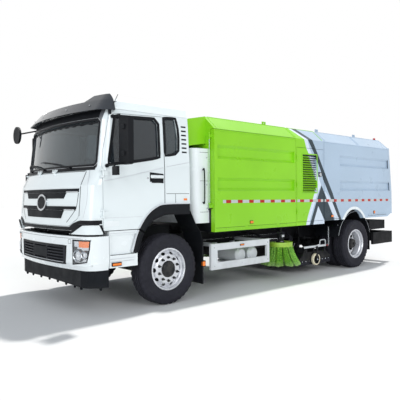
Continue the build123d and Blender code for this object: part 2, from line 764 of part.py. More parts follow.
def rear_mudguard():
    """The arched sheet over a pair of rear wheels, with its flap, on two rods from the rail."""
    y0, y1 = 560, 1158
    centre_z, radius, sheet = 560, 625, 8
    full = bar((rear_axle_x, y0, centre_z), (rear_axle_x, y1, centre_z), radius)
    full -= bar((rear_axle_x, y0 - 9, centre_z), (rear_axle_x, y1 + 9, centre_z), radius - sheet)
    full &= box(rear_axle_x - 700, rear_axle_x + 700, y0, y1, centre_z + 120, 1300)
    full += box(rear_axle_x - 622, rear_axle_x - 614, y0, y1, 330, centre_z + 121)
    for x in (rear_axle_x - 560, rear_axle_x + 560):
        full += bar((x, rail_outer_y, 830), (x, y0 + 300, 830), 14)
    return full


# ---------------------------------------------------------------- fairing and equipment body
body_section = [(-body_half_width, body_fold_z), (-roof_half_width, roof_z), (roof_half_width, roof_z),
                (body_half_width, body_fold_z)]
inner_half = body_half_width - body_wall
outside_y = body_half_width + 150
inner_section = [(-inner_half, body_fold_z - 33), (-roof_half_width + 31, roof_z - body_wall),
                 (roof_half_width - 31, roof_z - body_wall), (inner_half, body_fold_z - 33)]
body_front_x = behind(body_front_behind)
body_back_x = behind(body_back_behind)
door_split_x = behind(door_split_behind)
hopper_front_x = behind(hopper_front_behind)
louvre_x = (behind(3725), behind(2900))
louvre_z = (1060, 2420)
recess_bands = ((2344, 2120), (1835, 1620))
side_door_hinge_x = body_front_x + 17
side_door_hinge_y = body_half_width - 90
side_door_hinge_heights = (1382, 2480)
side_door_hinges = [hinge(Plane(origin=(side_door_hinge_x, side_door_hinge_y, z), x_dir=(0, -1, 0),
                                z_dir=(0, 0, 1)),
                          44, 26, 36, 22, clear=13) for z in side_door_hinge_heights]
louvre_hinge_x = louvre_x[1] + seam_gap / 2
louvre_hinge_y = body_half_width + 11
louvre_hinges = [hinge(upright_hinge(louvre_hinge_x, louvre_hinge_y, z), 40, 16, 18, 16, size=0.7)
                 for z in (1250, 1740, 2230)]


def hollow_section(x0, x1, bottom_z):
    """The body's outside between two places, down to a level."""
    return prism_x([(-body_half_width, bottom_z), *body_section, (body_half_width, bottom_z)], x0, x1)


def hollow_inside(x0, x1, floor_z):
    return prism_x([(-inner_half, floor_z), *inner_section, (inner_half, floor_z)], x0, x1)


def lifting_lug(x, s):
    """A roof lug with its eye."""
    lug = box(x - 45, x + 45, s * 985 - 8, s * 985 + 8, roof_z - 5, roof_z + 62)
    return lug - bar((x, s * 1005, roof_z + 32), (x, s * 965, roof_z + 32), lug_eye_radius)


lug_eye_radius = 15
body_lug_behind = 2300
hopper_lugs_behind = (3889, 5269)


def hood():
    """The hollow intake hood that reaches over the fairing."""
    half = 1050
    x0 = body_front_x
    outer = prism_y([(x0, 2370), (behind(470), 2310, 30), (behind(470), 2720, 40), (x0, roof_z)], -half, half)
    inner = prism_y([(x0, 2412), (behind(512), 2356), (behind(512), 2682), (x0, roof_z - 42)],
                    -half + 40, half - 40)
    return outer - inner


def equipment_body():
    """The closed body behind the cab, open at its side doors and louvred doors."""
    outer = hollow_section(body_back_x, body_front_x, body_bottom_z)
    inner = hollow_inside(body_back_x + body_wall, body_front_x - body_wall, body_bottom_z + body_wall)
    shell = outer - inner
    gap = seam_gap
    side_y0 = inner_half - gap
    door_cut = box(door_split_x - gap / 2, body_front_x + 5, side_y0, outside_y,
                   body_bottom_z - 5, body_fold_z)
    louvre_cut = box(louvre_x[0] - gap, louvre_x[1] + gap, side_y0 - 20, outside_y,
                     louvre_z[0] - gap, louvre_z[1] + gap)
    for cut in (door_cut, louvre_cut):
        shell = shell - cut - other_side(cut)
    shell += hood()
    for _, s in left_and_right:
        shell += lifting_lug(behind(body_lug_behind), s)
    for _, pin_part in side_door_hinges + louvre_hinges:
        shell = shell + pin_part + other_side(pin_part)
    return shell


def body_bearers():
    """The beams between the frame rails and the body's floor."""
    left = box(body_back_x, body_front_x - 20, rail_outer_y - rail_flange, rail_outer_y,
               rail_top_z + seat_gap, body_bottom_z - seat_gap)
    return left, other_side(left)


def recess(x0, x1, high, low):
    """A pressed band with sloped edges, cut into the left outer face."""
    slope = 48
    y = body_half_width
    outer = [(y + 1, low), (y + 1, high), (y - panel_recess, high - slope), (y - panel_recess, low + slope)]
    return prism_x(outer, x0, x1)


def side_door():
    """The left green door: a slab with two pressed bands and its hinge knuckles."""
    gap = seam_gap
    slab = box(door_split_x + gap / 2, body_front_x - 2, inner_half, body_half_width,
               body_bottom_z, body_fold_z - gap)
    for high, low in recess_bands:
        slab -= recess(behind(2830), behind(915), high, low)
    return joined([slab, *[knuckle_part for knuckle_part, _ in side_door_hinges]])


louvre_slats = 16


def louvre_door():
    """The left louvred door: a frame with sloped slats across its opening."""
    x0, x1 = louvre_x
    z0, z1 = louvre_z
    door = box(x0, x1, inner_half, body_half_width, z0, z1)
    slot_x0, slot_x1 = behind(3512), behind(3075)
    low, high = 1600, 2300
    door -= box(slot_x0, slot_x1, inner_half - 5, body_half_width + 5, low, high)
    margin = 8
    pitch = (high - low - 2 * margin) / louvre_slats
    for row in range(louvre_slats):
        z = low + margin + row * pitch
        door += prism_x([(body_half_width - 4, z), (body_half_width - 4, z + 6),
                         (inner_half + 20, z + pitch + 4),
                         (inner_half + 20, z + pitch - 2)], slot_x0 - 3, slot_x1 + 3)
    return joined([door, *[knuckle_part for knuckle_part, _ in louvre_hinges]])


def fairing():
    """The open-backed white cover between cab and body."""
    half, wall = 1120, 40
    x0, x1 = body_front_x, behind(520)
    outer = box(x0, x1, -half, half, 1130, 2280)
    outer = fillet(outer.edges().filter_by(Axis.Z).group_by(Axis.X)[-1], 120)
    return outer - box(x0 - 5, x1 - wall, -half + wall, half - wall, 1130 + wall, 2280 - wall)


# ---------------------------------------------------------------- hopper
tailgate_thickness = 90
# x behind the front axle and z of the leaning back face, from the top
back_face = ((hopper_back_behind - 3, 2606), (hopper_back_behind + 110, 1600),
             (hopper_back_behind + 120, 1110))
tailgate_hinge_behind = hopper_back_behind + 40
tailgate_hinge_z = 2640
arch_centre = (behind(4840), 790)
arch_radius = 450


def hopper():
    """The tipping silver hopper, open at the back, with its floor beams and lugs."""
    face = tailgate_thickness + seam_gap
    back_x = behind(hopper_back_behind - 70)
    far_x = behind(tail_behind + 150)
    outer = hollow_section(behind(back_face[2][0]), hopper_front_x, 1045)
    faces = [(behind(x - face), z) for x, z in back_face]
    (top_back, top_z), (middle_back, middle_z), (low_back, low_z) = faces
    foot_x = behind(hopper_back_behind - 110)
    outer -= prism_y([(top_back, top_z + seam_gap), (back_x, top_z + seam_gap), (back_x, 3000), (far_x, 3000),
                      (far_x, 900), (foot_x, 900), (foot_x, 1045), (low_back, low_z - seam_gap),
                      (low_back, low_z), (middle_back, middle_z)], -outside_y, outside_y)
    inside = hollow_inside(far_x, hopper_front_x - body_wall, hopper_floor_z + body_wall)
    inside &= box(far_x, hopper_front_x, -outside_y, outside_y, 0, back_face[0][1])
    roof_inside = hollow_inside(behind(hopper_back_behind - 160), hopper_front_x - body_wall,
                                hopper_floor_z + body_wall)
    shell = outer - inside - roof_inside
    shell -= box(far_x, hopper_front_x + 5, -inner_half, inner_half, 900, hopper_floor_z)
    arch_x, arch_z = arch_centre
    shell -= bar((arch_x, -outside_y, arch_z), (arch_x, outside_y, arch_z), arch_radius)
    for high, low in recess_bands:
        band = recess(behind(tail_behind), behind(4310), high, low)
        shell = shell - band - other_side(band)
    for _, s in left_and_right:
        y0, y1 = sorted((s * (rail_outer_y - rail_flange), s * (rail_outer_y - 6)))
        shell += box(behind(rail_back_behind - 30), hopper_front_x - 5, y0, y1,
                     rail_top_z + seat_gap, hopper_floor_z + 5)
        y0, y1 = sorted(s * (rail_outer_y + bracket_plate + arm_side_gap + t) for t in (0, arm_thickness))
        lug = prism_y([(tip_axis_x - 44, tip_axis_z - 44, 43), (tip_axis_x - 44, hopper_floor_z + 5),
                       (tip_axis_x + 150, hopper_floor_z + 5), (tip_axis_x + 44, tip_axis_z - 44, 43)], y0, y1)
        lug -= bar((tip_axis_x, y0 - 9, tip_axis_z), (tip_axis_x, y1 + 9, tip_axis_z),
                   tip_pin_radius + pin_play)
        shell += lug
        y0, y1 = sorted((s * 45, s * 65))
        ear = prism_y([(lift_eye_x - 60, hopper_floor_z + 5), (lift_eye_x - 45, lift_eye_z - 45, 44),
                       (lift_eye_x + 45, lift_eye_z - 45, 44), (lift_eye_x + 60, hopper_floor_z + 5)], y0, y1)
        shell += ear - bar((lift_eye_x, y0 - 9, lift_eye_z), (lift_eye_x, y1 + 9, lift_eye_z),
                           lift_pin_radius)
        for distance in hopper_lugs_behind:
            shell += lifting_lug(behind(distance), s)
    for _, pin_part in tailgate_hinges:
        shell += pin_part
    return shell


tailgate_hinges = [hinge(Plane(origin=(behind(tailgate_hinge_behind), y, tailgate_hinge_z), x_dir=(0, 0, 1),
                               z_dir=(0, -1, 0)), 90, 70, 60, 125, clear=24, size=1.6)
                   for y in (-800, 0, 800)]


def tailgate():
    """The leaning back panel, hung from its top edge."""
    half = body_half_width - 10
    t = tailgate_thickness
    panel = prism_y([(behind(x), z) for x, z in back_face] +
                    [(behind(x - t), z) for x, z in reversed(back_face)],
                    -half, half)
    return joined([panel, *[knuckle_part for knuckle_part, _ in tailgate_hinges]])


# ---------------------------------------------------------------- lift cylinder
lift_run = Vector(lift_eye_x - lift_foot_x, 0, lift_eye_z - lift_foot_z)
lift_length = lift_run.length
lift_rod_radius = 35
lift_barrel_radius = 62
lift_barrel_length = 1070


def along_lift(distance):
    return Vector(lift_foot_x, 0, lift_foot_z) + lift_run.normalized() * distance


def lift_barrel():
    barrel = bar(along_lift(60), along_lift(lift_barrel_length), lift_barrel_radius)
    barrel -= bar(along_lift(110), along_lift(lift_barrel_length + 5), lift_rod_radius + pin_play)
    foot = bar((lift_foot_x, -40, lift_foot_z), (lift_foot_x, 40, lift_foot_z), 48)
    foot += bar(along_lift(20), along_lift(70), 36)
    foot -= bar((lift_foot_x, -60, lift_foot_z), (lift_foot_x, 60, lift_foot_z), lift_pin_radius + pin_play)
    return barrel + foot


def lift_rod():
    rod = bar(along_lift(160), along_lift(lift_length - 30), lift_rod_radius)
    rod += bar((lift_eye_x, -28, lift_eye_z), (lift_eye_x, 28, lift_eye_z), 45)
    return rod + bar((lift_eye_x, -39, lift_eye_z), (lift_eye_x, 39, lift_eye_z), lift_pin_radius)


# ---------------------------------------------------------------- sweeping gear
brush_pivot = (behind(2240), 700)
brush_centre = (behind(2780), 950)
brush_arm_z = (700, 740)
brush_rod_radius = 30
brush_pin_radius = 15
nozzle_x = (behind(4400), behind(3370))
nozzle_half_width = 945
nozzle_rod = (behind(3900), 520)
nozzle_rod_radius = 20
caster_place = (behind(3810), 1005, 272)
caster_pin_radius = 12


def brush_arm():
    """The left arm, on its upright pin, with the bush that guides the brush head."""
    z0, z1 = brush_arm_z
    (px, py), (cx, cy) = brush_pivot, brush_centre
    run = Vector(cx - px, cy - py, 0)
    place = Plane(origin=((px + cx) / 2, (py + cy) / 2, (z0 + z1) / 2), x_dir=run, z_dir=(0, 0, 1))
    arm = place.location * Box(run.length, 60, z1 - z0)
    arm += bar((px, py, z0), (px, py, z1), 38) + bar((cx, cy, z0), (cx, cy, z1), 62)
    arm -= bar((px, py, z0 - 9), (px, py, z1 + 9), brush_pin_radius + pin_play)
    return arm - bar((cx, cy, z0 - 9), (cx, cy, z1 + 9), brush_rod_radius + pin_play)


def brush_head():
    """The guide rod and motor flange that carry the left brush."""
    x, y = brush_centre
    return upright([(0, 600), (brush_rod_radius, 600), (brush_rod_radius, 655), (80, 655), (80, 692),
                    (brush_rod_radius, 692), (brush_rod_radius, body_bottom_z - 10), (0, body_bottom_z - 10)], x, y)


def brush_disc():
    """The left brush: a plate with its raised ring and a flared skirt of bristles."""
    x, y = brush_centre
    bore = brush_rod_radius + pin_play
    ring = brush_ring_radius
    return upright([(bore, 622), (bore, 648), (ring - 15, 648), (ring - 15, 690), (ring, 690), (ring, 610),
                    (bristle_radius, bristle_bottom_z), (bristle_radius - 120, bristle_bottom_z), (ring - 80, 600),
                    (ring - 80, 622)], x, y)


def suction_nozzle():
    """The wide nozzle, open below, with its side frames and guide rods."""
    x0, x1 = nozzle_x
    wall = 20
    outline_points = [(x0, nozzle_bottom_z), (x0, nozzle_bottom_z + 130), (x0 + 160, 420), (x1 - 160, 420),
                      (x1, nozzle_bottom_z + 130), (x1, nozzle_bottom_z)]
    inner_points = [(x0 + wall, nozzle_bottom_z - 5), (x0 + wall, nozzle_bottom_z + 122),
                    (x0 + 168, 400), (x1 - 168, 400), (x1 - wall, nozzle_bottom_z + 122),
                    (x1 - wall, nozzle_bottom_z - 5)]
    half = nozzle_half_width
    shell = prism_y(outline_points, -half, half) - prism_y(inner_points, -half + wall, half - wall)
    rx, ry = nozzle_rod
    for _, s in left_and_right:
        shell += bar((rx, s * ry, 415), (rx, s * ry, 900), nozzle_rod_radius)
        y0, y1 = sorted((s * 985, s * 1025))
        frame = box(behind(4210), behind(3400), y0, y1, 515, 545)
        for x in (behind(3500), behind(4120)):
            frame += box(x - 20, x + 20, *sorted((s * 800, s * 1010)), 415, 520)
        shell += frame
        cx, cy, cz = caster_place
        fork_y = sorted((s * (cy - 45), s * (cy - 38)))
        shell += box(cx - 25, cx + 25, *fork_y, cz - 20, 520)
        fork_y = sorted((s * (cy + 38), s * (cy + 45)))
        shell += box(cx - 25, cx + 25, *fork_y, cz - 20, 520)
        shell += box(cx - 25, cx + 25, *sorted((s * (cy - 45), s * (cy + 45))), 500, 530)
        shell += bar((cx, s * (cy - 45), cz), (cx, s * (cy + 45), cz), caster_pin_radius)
    return shell


def caster():
    """The left support wheel of the nozzle."""
    cx, cy, cz = caster_place
    bore = caster_pin_radius + pin_play
    return turned([(bore, cy - 30), (60, cy - 30), (90, cy - 12), (90, cy - 30), (caster_radius - 6, cy - 30),
                   (caster_radius, cy - 18), (caster_radius, cy + 18), (caster_radius - 6, cy + 30), (90, cy + 30),
                   (90, cy + 12), (60, cy + 30), (bore, cy + 30)], cx, cz)


def underframe():
    """What carries the sweeping gear, the blocks beside the rails' tails, and the rear bumper."""
    pieces = []
    px, py = brush_pivot
    z0, z1 = brush_arm_z
    rx, ry = nozzle_rod
    for _, s in left_and_right:
        rail_y = s * rail_outer_y
        bracket = box(px - 45, px + 45, *sorted((rail_y, s * (py + 40))), z0 - 35, z0 - 5)
        bracket += box(px - 45, px + 45, *sorted((rail_y, s * (py + 40))), z1 + 5, z1 + 35)
        bracket += box(px - 45, px + 45, *sorted((rail_y, s * (rail_outer_y + 25))), z0 - 35, z1 + 35)
        bracket += bar((px, s * py, z0 - 35), (px, s * py, z1 + 35), brush_pin_radius)
        pieces.append(bracket)
        bush = box(rx - 45, rx + 45, *sorted((rail_y, s * (ry + 45))), 680, 740)
        bush -= bar((rx, s * ry, 600), (rx, s * ry, 800), nozzle_rod_radius + pin_play)
        pieces.append(bush)
        block = box(behind(tail_behind - 260), behind(5610), *sorted((s * 620, s * 1160)), 770, 968)
        block += box(behind(5950), behind(5750), *sorted((rail_y, s * 625)), 800, 860)
        pieces.append(block)
    bumper_front, bumper_back = behind(tail_behind - 120), behind(tail_behind)
    bumper = box(bumper_back, bumper_front, -1205, 1205, 440, 700)
    for _, s in left_and_right:
        bumper += box(bumper_front - 5, behind(5690), *sorted((s * 1150, s * 1205)), 440, 700)
        y0, y1 = sorted((s * (rail_outer_y - 70), s * (rail_outer_y - 5)))
        bumper += box(bumper_front - 5, behind(rail_back_behind - 160), y0, y1, 600, rail_bottom_z)
        y0, y1 = sorted(s * y for y in tail_lamp_y)
        bumper -= box(bumper_back - 5, bumper_back + tail_lamp_depth, y0, y1, *tail_lamp_z)
    eye = box(bumper_back, bumper_back + 70, -50, 50, 395, 441)
    eye -= bar((tow_eye_back_x, 0, 380), (tow_eye_back_x, 0, 460), tow_eye_radius)
    pieces.append(bumper + eye)
    return pieces


tail_lamp_y = (840, 1120)
tail_lamp_z = (500, 640)
tail_lamp_depth = 40


def tail_lamp():
    back_x = behind(tail_behind)
    return box(back_x, back_x + tail_lamp_depth - seat_gap, tail_lamp_y[0] + seat_gap, tail_lamp_y[1] - seat_gap,
               tail_lamp_z[0] + seat_gap, tail_lamp_z[1] - seat_gap)


# ---------------------------------------------------------------- the whole vehicle
rail = frame_rails()
save("frame_rails", rail, other_side(rail))
save("cross_members", *cross_members())
save("front_axle", front_axle())
save("rear_axle", rear_axle())
save("drive_units", *drive_units())
save("air_tanks", air_tanks())
guard = side_guard()
save("side_guards", guard, other_side(guard))
save("front_bumper", front_bumper())
save("bumper_grille", bumper_grille())
front_lamp, back_lamp = headlamp(), tail_lamp()
save("lamps", front_lamp, other_side(front_lamp), back_lamp, other_side(back_lamp))
save("spray_bar", spray_bar())
step = cab_step()
save("cab_steps", step, other_side(step))
guards = [front_mudguard(), rear_mudguard()]
save("mudguards", *guards, *[other_side(piece) for piece in guards])
save("fairing", fairing())
save("equipment_body", equipment_body(), *body_bearers())
save("underframe", *underframe())

save_pair("knuckle", knuckle())
save_pair("front_tyre", at_axle(tyre(wheel_plane_y), front_axle_x))
save_pair("front_rim", at_axle(front_rim(), front_axle_x))
twin_tyres = Compound(children=[at_axle(tyre(y), rear_axle_x)
                                for y in (wheel_plane_y, wheel_plane_y - twin_spacing)])
save_pair("rear_tyres", twin_tyres)
save_pair("rear_rims", at_axle(rear_rims(), rear_axle_x))

save("cab_shell", cab_shell())
quarter_pane = glass(prism_y(quarter_window(), *side_reach))
save("cab_glass", glass(prism_x(windscreen_outline(), *front_reach)), quarter_pane, other_side(quarter_pane))
save("cab_interior", seat(480), seat(-480), dashboard())
save("sun_visor", sun_visor())
save("front_mirror", front_mirror())
save_pair("cab_door", cab_door())
save_pair("door_glass", glass(prism_y(door_window(), *side_reach)))
save_pair("door_mirror", door_mirror())
save("front_hatch", front_hatch())
save("hatch_grilles", *hatch_grilles())

save_pair("side_door", side_door())
save_pair("louvre_door", louvre_door())
save("hopper", hopper())
save("tailgate", tailgate())
save("lift_barrel", lift_barrel())
save("lift_rod", lift_rod())
save_pair("brush_arm", brush_arm())
save_pair("brush_head", brush_head())
save_pair("brush_disc", brush_disc())
save("suction_nozzle", suction_nozzle())
save_pair("caster", caster())
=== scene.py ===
"""Street sweeper truck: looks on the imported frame. Metres; X forward, Y left, Z up, ground at z = 0."""

import math
import random

import bpy
from mathutils import Matrix, Vector


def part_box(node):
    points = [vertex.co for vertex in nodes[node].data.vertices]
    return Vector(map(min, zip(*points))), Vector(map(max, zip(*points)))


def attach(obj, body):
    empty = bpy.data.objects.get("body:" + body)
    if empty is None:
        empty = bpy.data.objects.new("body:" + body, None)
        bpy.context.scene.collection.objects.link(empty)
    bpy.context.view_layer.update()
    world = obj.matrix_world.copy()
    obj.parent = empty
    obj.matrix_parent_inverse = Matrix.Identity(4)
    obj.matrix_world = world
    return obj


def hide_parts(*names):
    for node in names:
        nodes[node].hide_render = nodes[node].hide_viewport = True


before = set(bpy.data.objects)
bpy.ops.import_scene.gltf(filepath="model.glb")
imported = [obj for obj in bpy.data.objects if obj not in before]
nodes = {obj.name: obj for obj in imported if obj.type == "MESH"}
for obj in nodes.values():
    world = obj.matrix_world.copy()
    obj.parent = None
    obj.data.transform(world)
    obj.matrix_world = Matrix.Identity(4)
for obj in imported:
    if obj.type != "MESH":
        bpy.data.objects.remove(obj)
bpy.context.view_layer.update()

AXLE = 2.575  # x of the front axle; most places below are given ahead of it
REAR_AXLE = -5.0  # ahead of the front axle, like the other places
SIDES = (("left", 1), ("right", -1))
BODY_Y = 1.25  # the body's side walls
STEP_Y = 1.2  # the cab steps' outer faces
BUMPER_BACK = -6.55  # the rear bumper's back face


def X(ahead):
    return ahead + AXLE


# ---------------------------------------------------------------- camera and light
def set_camera():
    yaw, pitch, roll = (math.radians(a) for a in (228.673, -0.477, -0.509))
    look = Vector((math.cos(yaw) * math.cos(pitch), math.sin(yaw) * math.cos(pitch), math.sin(pitch)))
    flat = look.cross(Vector((0, 0, 1))).normalized()
    lift = flat.cross(look)
    right = math.cos(roll) * flat + math.sin(roll) * lift
    up = -math.sin(roll) * flat + math.cos(roll) * lift
    data = bpy.data.cameras.new("camera")
    data.sensor_fit, data.sensor_width, data.lens = "HORIZONTAL", 36, 42.766  # as solved from the photo
    data.clip_end = 200
    camera = bpy.data.objects.new("camera", data)
    turn = Matrix((right, up, -look)).transposed().to_4x4()
    camera.matrix_world = Matrix.Translation((6.7215, 6.5843, 1.5472)) @ turn
    bpy.context.scene.collection.objects.link(camera)
    bpy.context.scene.camera = camera


def srgb(r, g, b):
    def line(c):
        c /= 255
        return c / 12.92 if c <= 0.04045 else ((c + 0.055) / 1.055) ** 2.4
    return (line(r), line(g), line(b), 1)


def set_light():
    scene = bpy.context.scene
    scene.view_settings.view_transform = "Standard"
    world = bpy.data.worlds.new("studio")
    scene.world = world
    world.use_nodes = True
    tree = world.node_tree
    tree.nodes.clear()
    out = tree.nodes.new("ShaderNodeOutputWorld")
    back = tree.nodes.new("ShaderNodeBackground")
    seen = tree.nodes.new("ShaderNodeBackground")
    mix = tree.nodes.new("ShaderNodeMixShader")
    rays = tree.nodes.new("ShaderNodeLightPath")
    back.inputs["Color"].default_value = (0.80, 0.87, 0.95, 1)
    back.inputs["Strength"].default_value = 0.42
    seen.inputs["Color"].default_value = (1, 1, 1, 1)
    seen.inputs["Strength"].default_value = 1.0
    seen_by = rays.outputs["Is Camera Ray"]
    for kind in ("Is Glossy Ray", "Is Transmission Ray"):
        both = tree.nodes.new("ShaderNodeMath")
        both.operation = "MAXIMUM"
        tree.links.new(seen_by, both.inputs[0])
        tree.links.new(rays.outputs[kind], both.inputs[1])
        seen_by = both.outputs[0]
    tree.links.new(seen_by, mix.inputs["Fac"])
    tree.links.new(back.outputs[0], mix.inputs[1])
    tree.links.new(seen.outputs[0], mix.inputs[2])
    tree.links.new(mix.outputs[0], out.inputs["Surface"])
    for name, energy, angle, direction, colour in (
        ("sun", 2.6, 3.0, (0.42, 0.10, -0.90), (1.0, 0.98, 0.95)),
        ("fill_front", 1.02, 30.0, (-0.84, -0.43, -0.28), (0.95, 0.98, 1.0)),
        ("fill_side", 0.88, 30.0, (-0.15, -0.88, -0.42), (0.98, 0.99, 1.0)),
    ):
        data = bpy.data.lights.new(name, "SUN")
        data.energy, data.angle, data.color = energy, math.radians(angle), colour
        lamp = bpy.data.objects.new(name, data)
        lamp.rotation_euler = Vector(direction).to_track_quat("-Z", "Y").to_euler()
        scene.collection.objects.link(lamp)


# ---------------------------------------------------------------- materials
class Nodes:
    """A material with a Principled shader and short ways to wire its nodes."""

    def __init__(self, name, **constants):
        self.material = bpy.data.materials.new(name)
        self.material.use_nodes = True
        self.tree = self.material.node_tree
        self.shader = self.tree.nodes["Principled BSDF"]
        self.place = self.node("ShaderNodeTexCoord").outputs["Object"]
        for key, value in constants.items():
            self.shader.inputs[key.replace("_", " ").title().replace("Ior", "IOR")].default_value = value

    def node(self, kind, **values):
        node = self.tree.nodes.new(kind)
        for key, value in values.items():
            setattr(node, key, value)
        return node

    def put(self, socket, value):
        if isinstance(value, bpy.types.NodeSocket):
            self.tree.links.new(value, socket)
        else:
            socket.default_value = value

    def math(self, kind, a, b=0.0, clamp=False):
        node = self.node("ShaderNodeMath", operation=kind, use_clamp=clamp)
        self.put(node.inputs[0], a)
        self.put(node.inputs[1], b)
        return node.outputs[0]

    def times(self, first, *others):
        for other in others:
            first = self.math("MULTIPLY", first, other)
        return first

    def below(self, value, limit):
        return self.math("LESS_THAN", value, limit)

    def above(self, value, limit):
        return self.math("GREATER_THAN", value, limit)

    def rest(self, value):
        return self.math("SUBTRACT", 1.0, value)

    def axes(self):
        split = self.node("ShaderNodeSeparateXYZ")
        self.put(split.inputs[0], self.place)
        return split.outputs

    def noise(self, scale, detail=3.0, rough=0.5, stretch=None):
        place = self.place
        if stretch:
            mapping = self.node("ShaderNodeMapping")
            self.put(mapping.inputs["Vector"], place)
            mapping.inputs["Scale"].default_value = stretch
            place = mapping.outputs[0]
        node = self.node("ShaderNodeTexNoise")
        self.put(node.inputs["Vector"], place)
        node.inputs["Scale"].default_value = scale
        node.inputs["Detail"].default_value = detail
        node.inputs["Roughness"].default_value = rough
        return node.outputs[0]

    def span(self, value, a, b, c=0.0, d=1.0):
        node = self.node("ShaderNodeMapRange")
        for socket, v in zip(node.inputs, (value, a, b, c, d)):
            self.put(socket, v)
        return node.outputs[0]

    def mix(self, factor, a, b):
        node = self.node("ShaderNodeMix", data_type="RGBA")
        self.put(node.inputs[0], factor)
        self.put(node.inputs[6], a)
        self.put(node.inputs[7], b)
        return node.outputs[2]

    def curve(self, value, low, high, out_low, out_high, points):
        """A broken line through (value, result) points."""
        node = self.node("ShaderNodeFloatCurve")
        self.put(node.inputs["Value"], self.span(value, low, high))
        line = node.mapping.curves[0]
        spots = [((a - low) / (high - low), (b - out_low) / (out_high - out_low)) for a, b in sorted(points)]
        while len(line.points) < len(spots):
            line.points.new(0.5, 0.5)
        for point, (a, b) in zip(line.points, spots):
            point.location = (a, b)
            point.handle_type = "VECTOR"
        node.mapping.update()
        return self.span(node.outputs[0], 0.0, 1.0, out_low, out_high)

    def bump(self, height, strength=0.2, distance=0.002):
        node = self.node("ShaderNodeBump")
        node.inputs["Strength"].default_value = strength
        node.inputs["Distance"].default_value = distance
        self.put(node.inputs["Height"], height)
        self.put(self.shader.inputs["Normal"], node.outputs[0])

    def base(self, colour):
        self.put(self.shader.inputs["Base Color"], colour)

    def rough(self, low, high, scale=6.0):
        self.put(self.shader.inputs["Roughness"], self.span(self.noise(scale, 4.0), 0.3, 0.7, low, high))


def shade(colour, factor):
    return tuple(c * factor for c in colour[:3]) + (1,)


def simple(name, colour, low=0.35, high=0.5, vary=0.12, scale=5.0, grain=120.0, grain_depth=0.12,
           dust=0.0, dust_top=0.9, **constants):
    """A finish with broad colour variation, fine grain, uneven roughness and road dust low down."""
    m = Nodes(name, **constants)
    tone = m.mix(m.span(m.noise(scale, 5.0), 0.35, 0.65), shade(colour, 1 - vary),
                 shade(colour, 1 + vary * 0.5))
    if dust:
        z = m.axes()[2]
        amount = m.times(m.span(z, dust_top, 0.1, 0.0, dust), m.span(m.noise(9.0, 6.0), 0.35, 0.7))
        tone = m.mix(amount, tone, srgb(150, 146, 138))
    m.base(tone)
    m.rough(low, high)
    m.bump(m.noise(grain, 2.0), grain_depth, 0.001)
    return m.material


LIVERY_Z, LIVERY_X = (0.8, 3.0), (-5.0, -2.5)  # what the livery's curves span


